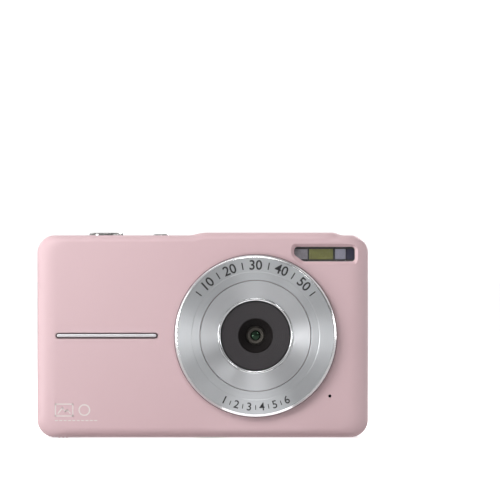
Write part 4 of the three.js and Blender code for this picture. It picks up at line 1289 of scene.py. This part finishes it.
OK = middle_of("ok_button")
ok_low, ok_high = box_of("ok_button")
OK_FLANGE = (ok_high.x - ok_low.x) / 2
OK_RADIUS = 3.6
OK_FACE = ok_high.y
confirm = [(0, ok_low.y), (OK_FLANGE, ok_low.y), (OK_FLANGE, 7.55), (OK_RADIUS, 7.55)]
confirm += offsets(OK_RADIUS, OK_FACE, [(0.0, -0.24), (-0.05, -0.12), (-0.14, -0.03), (-0.26, 0.0)])
confirm += [(1.5, OK_FACE - 0.05), (0, OK_FACE - 0.06)]
OK_METAL = spun("satin_confirm", OK, (0.46, 0.48, 0.48), (0.54, 0.56, 0.56), 0.40, 6000.0, 0.0004, 0.2)
finish_piece(turned(confirm, OK, steps=80), "confirm_cap", "ok", OK_METAL, ["ok_button"], 40)
sign_at(ring_shape_parts(1.2, 0.24, 0, 360, 32), OK, OK_FACE - 0.045, "confirm_sign", "ok", NAV_INK)

# %% [markdown]
# ## Status lamp and speaker
#
# The status lamp is the end of a light pipe: milky plastic in a thin grey rim. The speaker sits behind its
# holes, so its front is a dark cloth.

# %% Status lamp
pipe = slot_prism(STATUS_LOW, STATUS_HIGH, 8.0, STATUS_HIGH.y, -0.16)
ease_end(pipe, 1, STATUS_HIGH.y, 0.14)
finish_piece(pipe, "status_pipe", "case", MILKY, ["status_lamp"], 40)
collar = slot_prism(STATUS_LOW, STATUS_HIGH, 8.2, STATUS_HIGH.y - 0.04, 0.0)
hole = slot_prism(STATUS_LOW, STATUS_HIGH, 7.0, STATUS_HIGH.y + 1, -0.15)
collar = combine(collar, [hole])
finish_piece(collar, "status_collar", "case", RUBBER, ["status_lamp"], 40)

# %% [markdown]
# ## Screen
#
# The screen is a thin panel behind an opening, under a clear pane that lies in a shallow recess. The panel
# glows with a picture of a heath under a summer sky. The picture is made from noise and gradients on the
# panel's own place: a slanted horizon parts the sky from the hill, clouds are stretched noise, and three
# sizes of noise make the bushes.

# %% Picture on the panel
class Picture(Finish):
    """A finish with short ways to do sums on masks."""

    def sum(self, operation, first, second=0.0, third=0.0):
        node = add_node(self.tree, "Math", operation)
        for socket, value in zip(node.inputs, (first, second, third)):
            self.feed(socket, value)
        return node.outputs[0]

    def times(self, first, second):
        return self.sum("MULTIPLY", first, second)

    def less(self, mask):
        return self.sum("SUBTRACT", 1.0, mask)

    def noise(self, vector, scale, detail=4.0, stretch=(1, 1, 1)):
        node = add_node(self.tree, "TexNoise", Scale=scale, Detail=detail)
        self.link(self.moved(vector, Scale=stretch), node.inputs["Vector"])
        return node.outputs["Fac"]

    def ramp(self, value, stops):
        node = self.tree.nodes.new("ShaderNodeValToRGB")
        elements = node.color_ramp.elements
        while len(elements) < len(stops):
            elements.new(0.5)
        for element, (position, colour) in zip(elements, stops):
            element.position = position
            element.color = (*colour, 1)
        self.link(value, node.inputs["Fac"])
        return node.outputs["Color"]

    def step(self, value, low, high):
        node = add_node(self.tree, "MapRange", From_Min=low, From_Max=high)
        node.interpolation_type = "SMOOTHSTEP"
        self.link(value, node.inputs["Value"])
        return node.outputs["Result"]


PICTURE_LOW, PICTURE_HIGH = (-12.5, BASE + 10.7), (37.7, BASE + 48.6)
PICTURE_WIDE = PICTURE_HIGH[0] - PICTURE_LOW[0]
PICTURE_HIGH_BY = PICTURE_HIGH[1] - PICTURE_LOW[1]

view = Picture("screen_picture")
spot = view.moved(
    view.place,
    Scale=(-1 / (PICTURE_WIDE * MM), 0, 1 / (PICTURE_HIGH_BY * MM)),
    Location=(PICTURE_HIGH[0] / PICTURE_WIDE, 0, -PICTURE_LOW[1] / PICTURE_HIGH_BY),
)
split = add_node(view.tree, "SeparateXYZ")
view.link(spot, split.inputs[0])
u, v = split.outputs["X"], split.outputs["Z"]

sky_colour = view.ramp(v, [(0.38, (0.84, 0.89, 0.89)), (0.64, (0.64, 0.79, 0.86)), (1.0, (0.16, 0.37, 0.66))])
cloud = view.step(view.noise(spot, 2.4, 6.0, (1.0, 1.0, 2.2)), 0.46, 0.70)
height_mask = view.times(view.step(v, 0.45, 0.62), view.less(view.step(v, 0.75, 0.95)))
sky_colour = view.mixed(view.times(cloud, height_mask), sky_colour, (0.86, 0.88, 0.87))

ridge = view.noise(spot, 38.0, 3.0, (1.0, 1.0, 0.0))
horizon = view.sum("ADD", view.times(u, 0.15), view.sum("MULTIPLY_ADD", ridge, 0.035, 0.36))
below = view.sum("SUBTRACT", horizon, v)
on_hill = view.step(below, -0.004, 0.004)

patches = view.noise(spot, 4.6, 3.0, (1.0, 1.0, 1.1))
bushes = view.noise(spot, 13.0, 6.0, (1.2, 1.0, 1.0))
leaves = view.noise(spot, 90.0, 3.0)
GROUND_STOPS = [
    (0.36, (0.060, 0.030, 0.014)), (0.43, (0.230, 0.085, 0.040)), (0.475, (0.470, 0.150, 0.080)),
    (0.52, (0.200, 0.180, 0.045)), (0.56, (0.420, 0.320, 0.090)), (0.63, (0.760, 0.580, 0.230)),
]
ground = view.ramp(view.sum("MULTIPLY_ADD", bushes, 0.55, view.times(patches, 0.45)), GROUND_STOPS)
shade = view.step(leaves, 0.28, 0.66)
ground = view.mixed(shade, view.mixed(0.55, ground, (0.045, 0.030, 0.015)), ground)
haze = view.less(view.step(below, 0.0, 0.26))
ground = view.mixed(view.times(haze, 0.40), ground, (0.60, 0.36, 0.27))
path = view.noise(spot, 3.0, 2.0, (1.0, 1.0, 3.5))
near_path = view.times(view.step(path, 0.55, 0.62), view.step(below, 0.16, 0.3))
ground = view.mixed(view.times(near_path, 0.6), ground, (0.72, 0.56, 0.26))
scene_colour = view.mixed(on_hill, sky_colour, ground)

from_edges = [view.times(view.step(at, 0.0, 0.002), view.less(view.step(at, 0.998, 1.0))) for at in (u, v)]
on_panel = view.times(*from_edges)
view.link(view.mixed(on_panel, (0.0, 0.0, 0.0), scene_colour), view.shader.inputs["Emission Color"])
view.tint(on_panel, (0.01, 0.01, 0.01), (0.03, 0.03, 0.03))
view.set(Roughness=0.25, Emission_Strength=0.98)

# %% Panel and pane
panel_low, panel_high = box_of("lcd_panel")
panel = box_cutter(panel_low, panel_high)
ease_end(panel, 1, panel_high.y, 0.15, 2)
finish_piece(panel, "screen_panel", "case", view.material, ["lcd_panel"])

pane_outline = rectangle(WINDOW_LOW.x, WINDOW_HIGH.x, WINDOW_LOW.z, WINDOW_HIGH.z)
cover_pane = prism(pane_outline, WINDOW_LOW.y, WINDOW_HIGH.y)
bevel_edges(cover_pane, edges_along(cover_pane, 1), 0.6, 6)
ease_end(cover_pane, 1, WINDOW_HIGH.y, 0.2)
finish_piece(cover_pane, "screen_pane", "case", CLEAR, ["screen_window"], 40)

# A thin dark gasket lines the opening between the pane and the panel.
gasket = prism(rectangle(*SCREEN_OPENING), panel_high.y + 0.05, WINDOW_LOW.y - 0.12)
bevel_edges(gasket, edges_along(gasket, 1), 0.4, 4)
inside = tuple(v + d for v, d in zip(SCREEN_OPENING, (0.4, -0.4, 0.4, -0.4)))
gasket = combine(gasket, [prism(rectangle(*inside), 0, 20)])
finish_piece(gasket, "screen_gasket", "case", DARK_GAP, [])

# %% [markdown]
# ## Battery door and latch
#
# The bottom opens on a door with a knuckle at its inner end, and a latch with three thumb ribs locks it.
# The door is a plate whose edges are bevelled before the knuckle is joined on and the latch's bed is cut.
# The ribs are the camera's lowest points, so their ends are rounded well.

# %% Battery door
LATCH_BED = -35.6
door = box_cutter((DOOR_LOW.x, DOOR_LOW.y, BASE), (HINGE.x, DOOR_HIGH.y, BASE + FLOOR))
upright = [e for e in edges_along(door, 2) if e.verts[0].co.x < DOOR_LOW.x + 0.1]
bevel_edges(door, upright, 0.35, 5)
ease_end(door, 2, BASE, 0.14)
corner_cut = box_cutter(
    (HINGE.x - 1.6, DOOR_LOW.y - 1, HINGE.z), (HINGE.x + 1, DOOR_HIGH.y + 1, BASE + FLOOR + 1)
)
bed = box_cutter((DOOR_LOW.x - 1, -4.2, BASE - 1), (LATCH_BED, 0.8, BASE + 1.3))
door = combine(door, [corner_cut, bed])
door = combine(door, [rod(0.9, HINGE, DOOR_LOW.y, DOOR_HIGH.y, steps=48)], "UNION")
door = combine(door, [rod(0.5, HINGE, DOOR_LOW.y - 1, DOOR_HIGH.y + 1, steps=24)])
finish_piece(door, "door_plate", "door", PINK, ["battery_door"])

# %% Latch
slide = box_cutter((LATCH_LOW.x, LATCH_LOW.y, BASE + 0.1), (LATCH_HIGH.x, LATCH_HIGH.y, BASE + 1.15))
ease_end(slide, 2, BASE + 0.1, 0.15)
below_bolt = box_cutter(
    (LATCH_LOW.x - 1, LATCH_LOW.y - 1, BASE - 1), (LATCH_LOW.x + 1.1, LATCH_HIGH.y + 1, BASE + 0.75)
)
slide = combine(slide, [below_bolt])
ribs = []
for rib_x in (-41.35, -40.25, -39.15):
    rib = box_cutter((rib_x - 0.3, -3.7, BASE - 0.35), (rib_x + 0.3, 0.3, BASE + 0.3))
    bevel_edges(rib, edges_along(rib, 1), 0.22, 5)
    bmesh.ops.recalc_face_normals(rib, faces=rib.faces)
    ribs.append(rib)
slide = combine(slide, ribs, "UNION")
finish_piece(slide, "latch_slide", "latch", PINK, ["battery_latch"])

# %% [markdown]
# ## Tripod insert, socket and screws
#
# A brass insert with a thread takes a tripod screw. Its thread is drawn as close rings, which look the same
# as a helix at this size and spin in one go. The charging socket is a rounded steel shell with a black
# tongue and gold contacts. Four cross-head screws hold the covers together from the sides.

# %% Tripod insert
INSERT_TOP = BASE + 6.8
FLANGE_LOW = BASE + FLOOR + 0.05
FLANGE_HIGH = BASE + FLOOR + 1
THREAD_PITCH = 0.56
thread = [(0, BASE + 5.5), (3.15, BASE + 5.5)]
level = 5.2
while level > 0.6:
    thread += offsets(0, BASE + level, [(3.2, 0.0), (3.2, -0.16), (2.82, -0.32), (2.82, -0.40)])
    level -= THREAD_PITCH
thread += offsets(0, BASE, [(3.2, 0.55), (3.45, 0.02), (3.6, 0.0)])
thread += offsets(TRIPOD_RADIUS, BASE, [(-0.12, 0.0), (0.0, 0.12)])
thread += [(TRIPOD_RADIUS, FLANGE_LOW), (6, FLANGE_LOW), (6, FLANGE_HIGH), (TRIPOD_RADIUS, FLANGE_HIGH)]
thread += [(TRIPOD_RADIUS, INSERT_TOP), (0, INSERT_TOP)]
finish_piece(turned(thread, TRIPOD, "Z", 64), "tripod_insert", "case", BRASS, ["tripod_nut"])

# %% Charging socket
shell = rounded_block((39, USB_LOW.y, USB_LOW.z), USB_HIGH, 1.5)
SHEET = 0.32
mouth = rounded_block(
    (40, USB_LOW.y + SHEET, USB_LOW.z + SHEET), (48, USB_HIGH.y - SHEET, USB_HIGH.z - SHEET), 1.2
)
shell = combine(shell, [mouth])
finish_piece(shell, "socket_shell", "case", STEEL, ["usb_socket"], 35)
middle_y = (USB_LOW.y + USB_HIGH.y) / 2
tongue = box_cutter((39.5, middle_y - 0.35, USB_LOW.z + 1.3), (46, middle_y + 0.35, USB_HIGH.z - 1.3))
ease_end(tongue, 0, 46, 0.15)
finish_piece(tongue, "socket_tongue", "case", BLACK, ["usb_socket"], 35)
contacts = []
for n in range(6):
    low_z = USB_LOW.z + 1.7 + n * 0.96
    contacts.append(box_cutter((42, middle_y - 0.38, low_z), (45.6, middle_y + 0.38, low_z + 0.4)))
finish_piece(merged(*contacts), "socket_contacts", "case", BRASS, ["usb_socket"], 35)

# %% Case screws
for number, screw in enumerate(SCREWS, 1):
    way = 1 if screw.x > 0 else -1
    top = (HALF_WIDTH - 0.15) * way
    low, high = box_of(f"case_screw_{number}")
    end = low.x if way > 0 else high.x
    head = [(0, end), (0.4, end), (0.6, end + 0.3 * way), (0.6, top - 0.85 * way), (1.4, top - 0.85 * way)]
    head += [(1.4, top - 0.3 * way), (1.3, top - 0.12 * way), (1.0, top - 0.02 * way), (0, top)]
    made = turned(head, screw, "X", 32)
    low_x, high_x = sorted((top - 0.45 * way, top + way))
    arms = [
        box_cutter((low_x, screw.y - 0.85, screw.z - 0.16), (high_x, screw.y + 0.85, screw.z + 0.16)),
        box_cutter((low_x, screw.y - 0.16, screw.z - 0.85), (high_x, screw.y + 0.16, screw.z + 0.85)),
    ]
    made = combine(made, arms)
    finish_piece(made, f"side_screw_{number}", "case", STEEL, [f"case_screw_{number}"], 35)

# %% [markdown]
# ## Inside parts
#
# The boards, the battery and the other parts inside keep their CAD shapes. They show when the battery door
# is open and in the gaps round the keys, so each still gets its own finish.

# %% Finishes of the inside parts
INSIDE = {
    BLACK: ["lens_holder", "battery_tray"],
    CHIP: ["image_sensor", "processor"],
    BOARD: ["sensor_board", "flash_board", "top_key_board", "key_board", "main_board"],
    DARK_GAP: ["flash_housing", "nav_rocker", "speaker", "microphone"],
    STEEL: ["shutter_spring", "shutter_switch", "power_switch", "lcd_frame", "battery_door_pin", "card_slot"],
    RUBBER: ["key_pad_sheet"],
    AMBER: ["lcd_flex"],
    LABEL: ["battery"],
    BRASS: ["battery_contact_1", "battery_contact_2", "battery_contact_3"],
}
INSIDE[STEEL] += ["board_screw_1", "board_screw_2"]
for material, names in INSIDE.items():
    for name in names:
        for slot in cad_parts[name].material_slots:
            slot.material = material
print("inside parts finished:", sum(len(names) for names in INSIDE.values()))
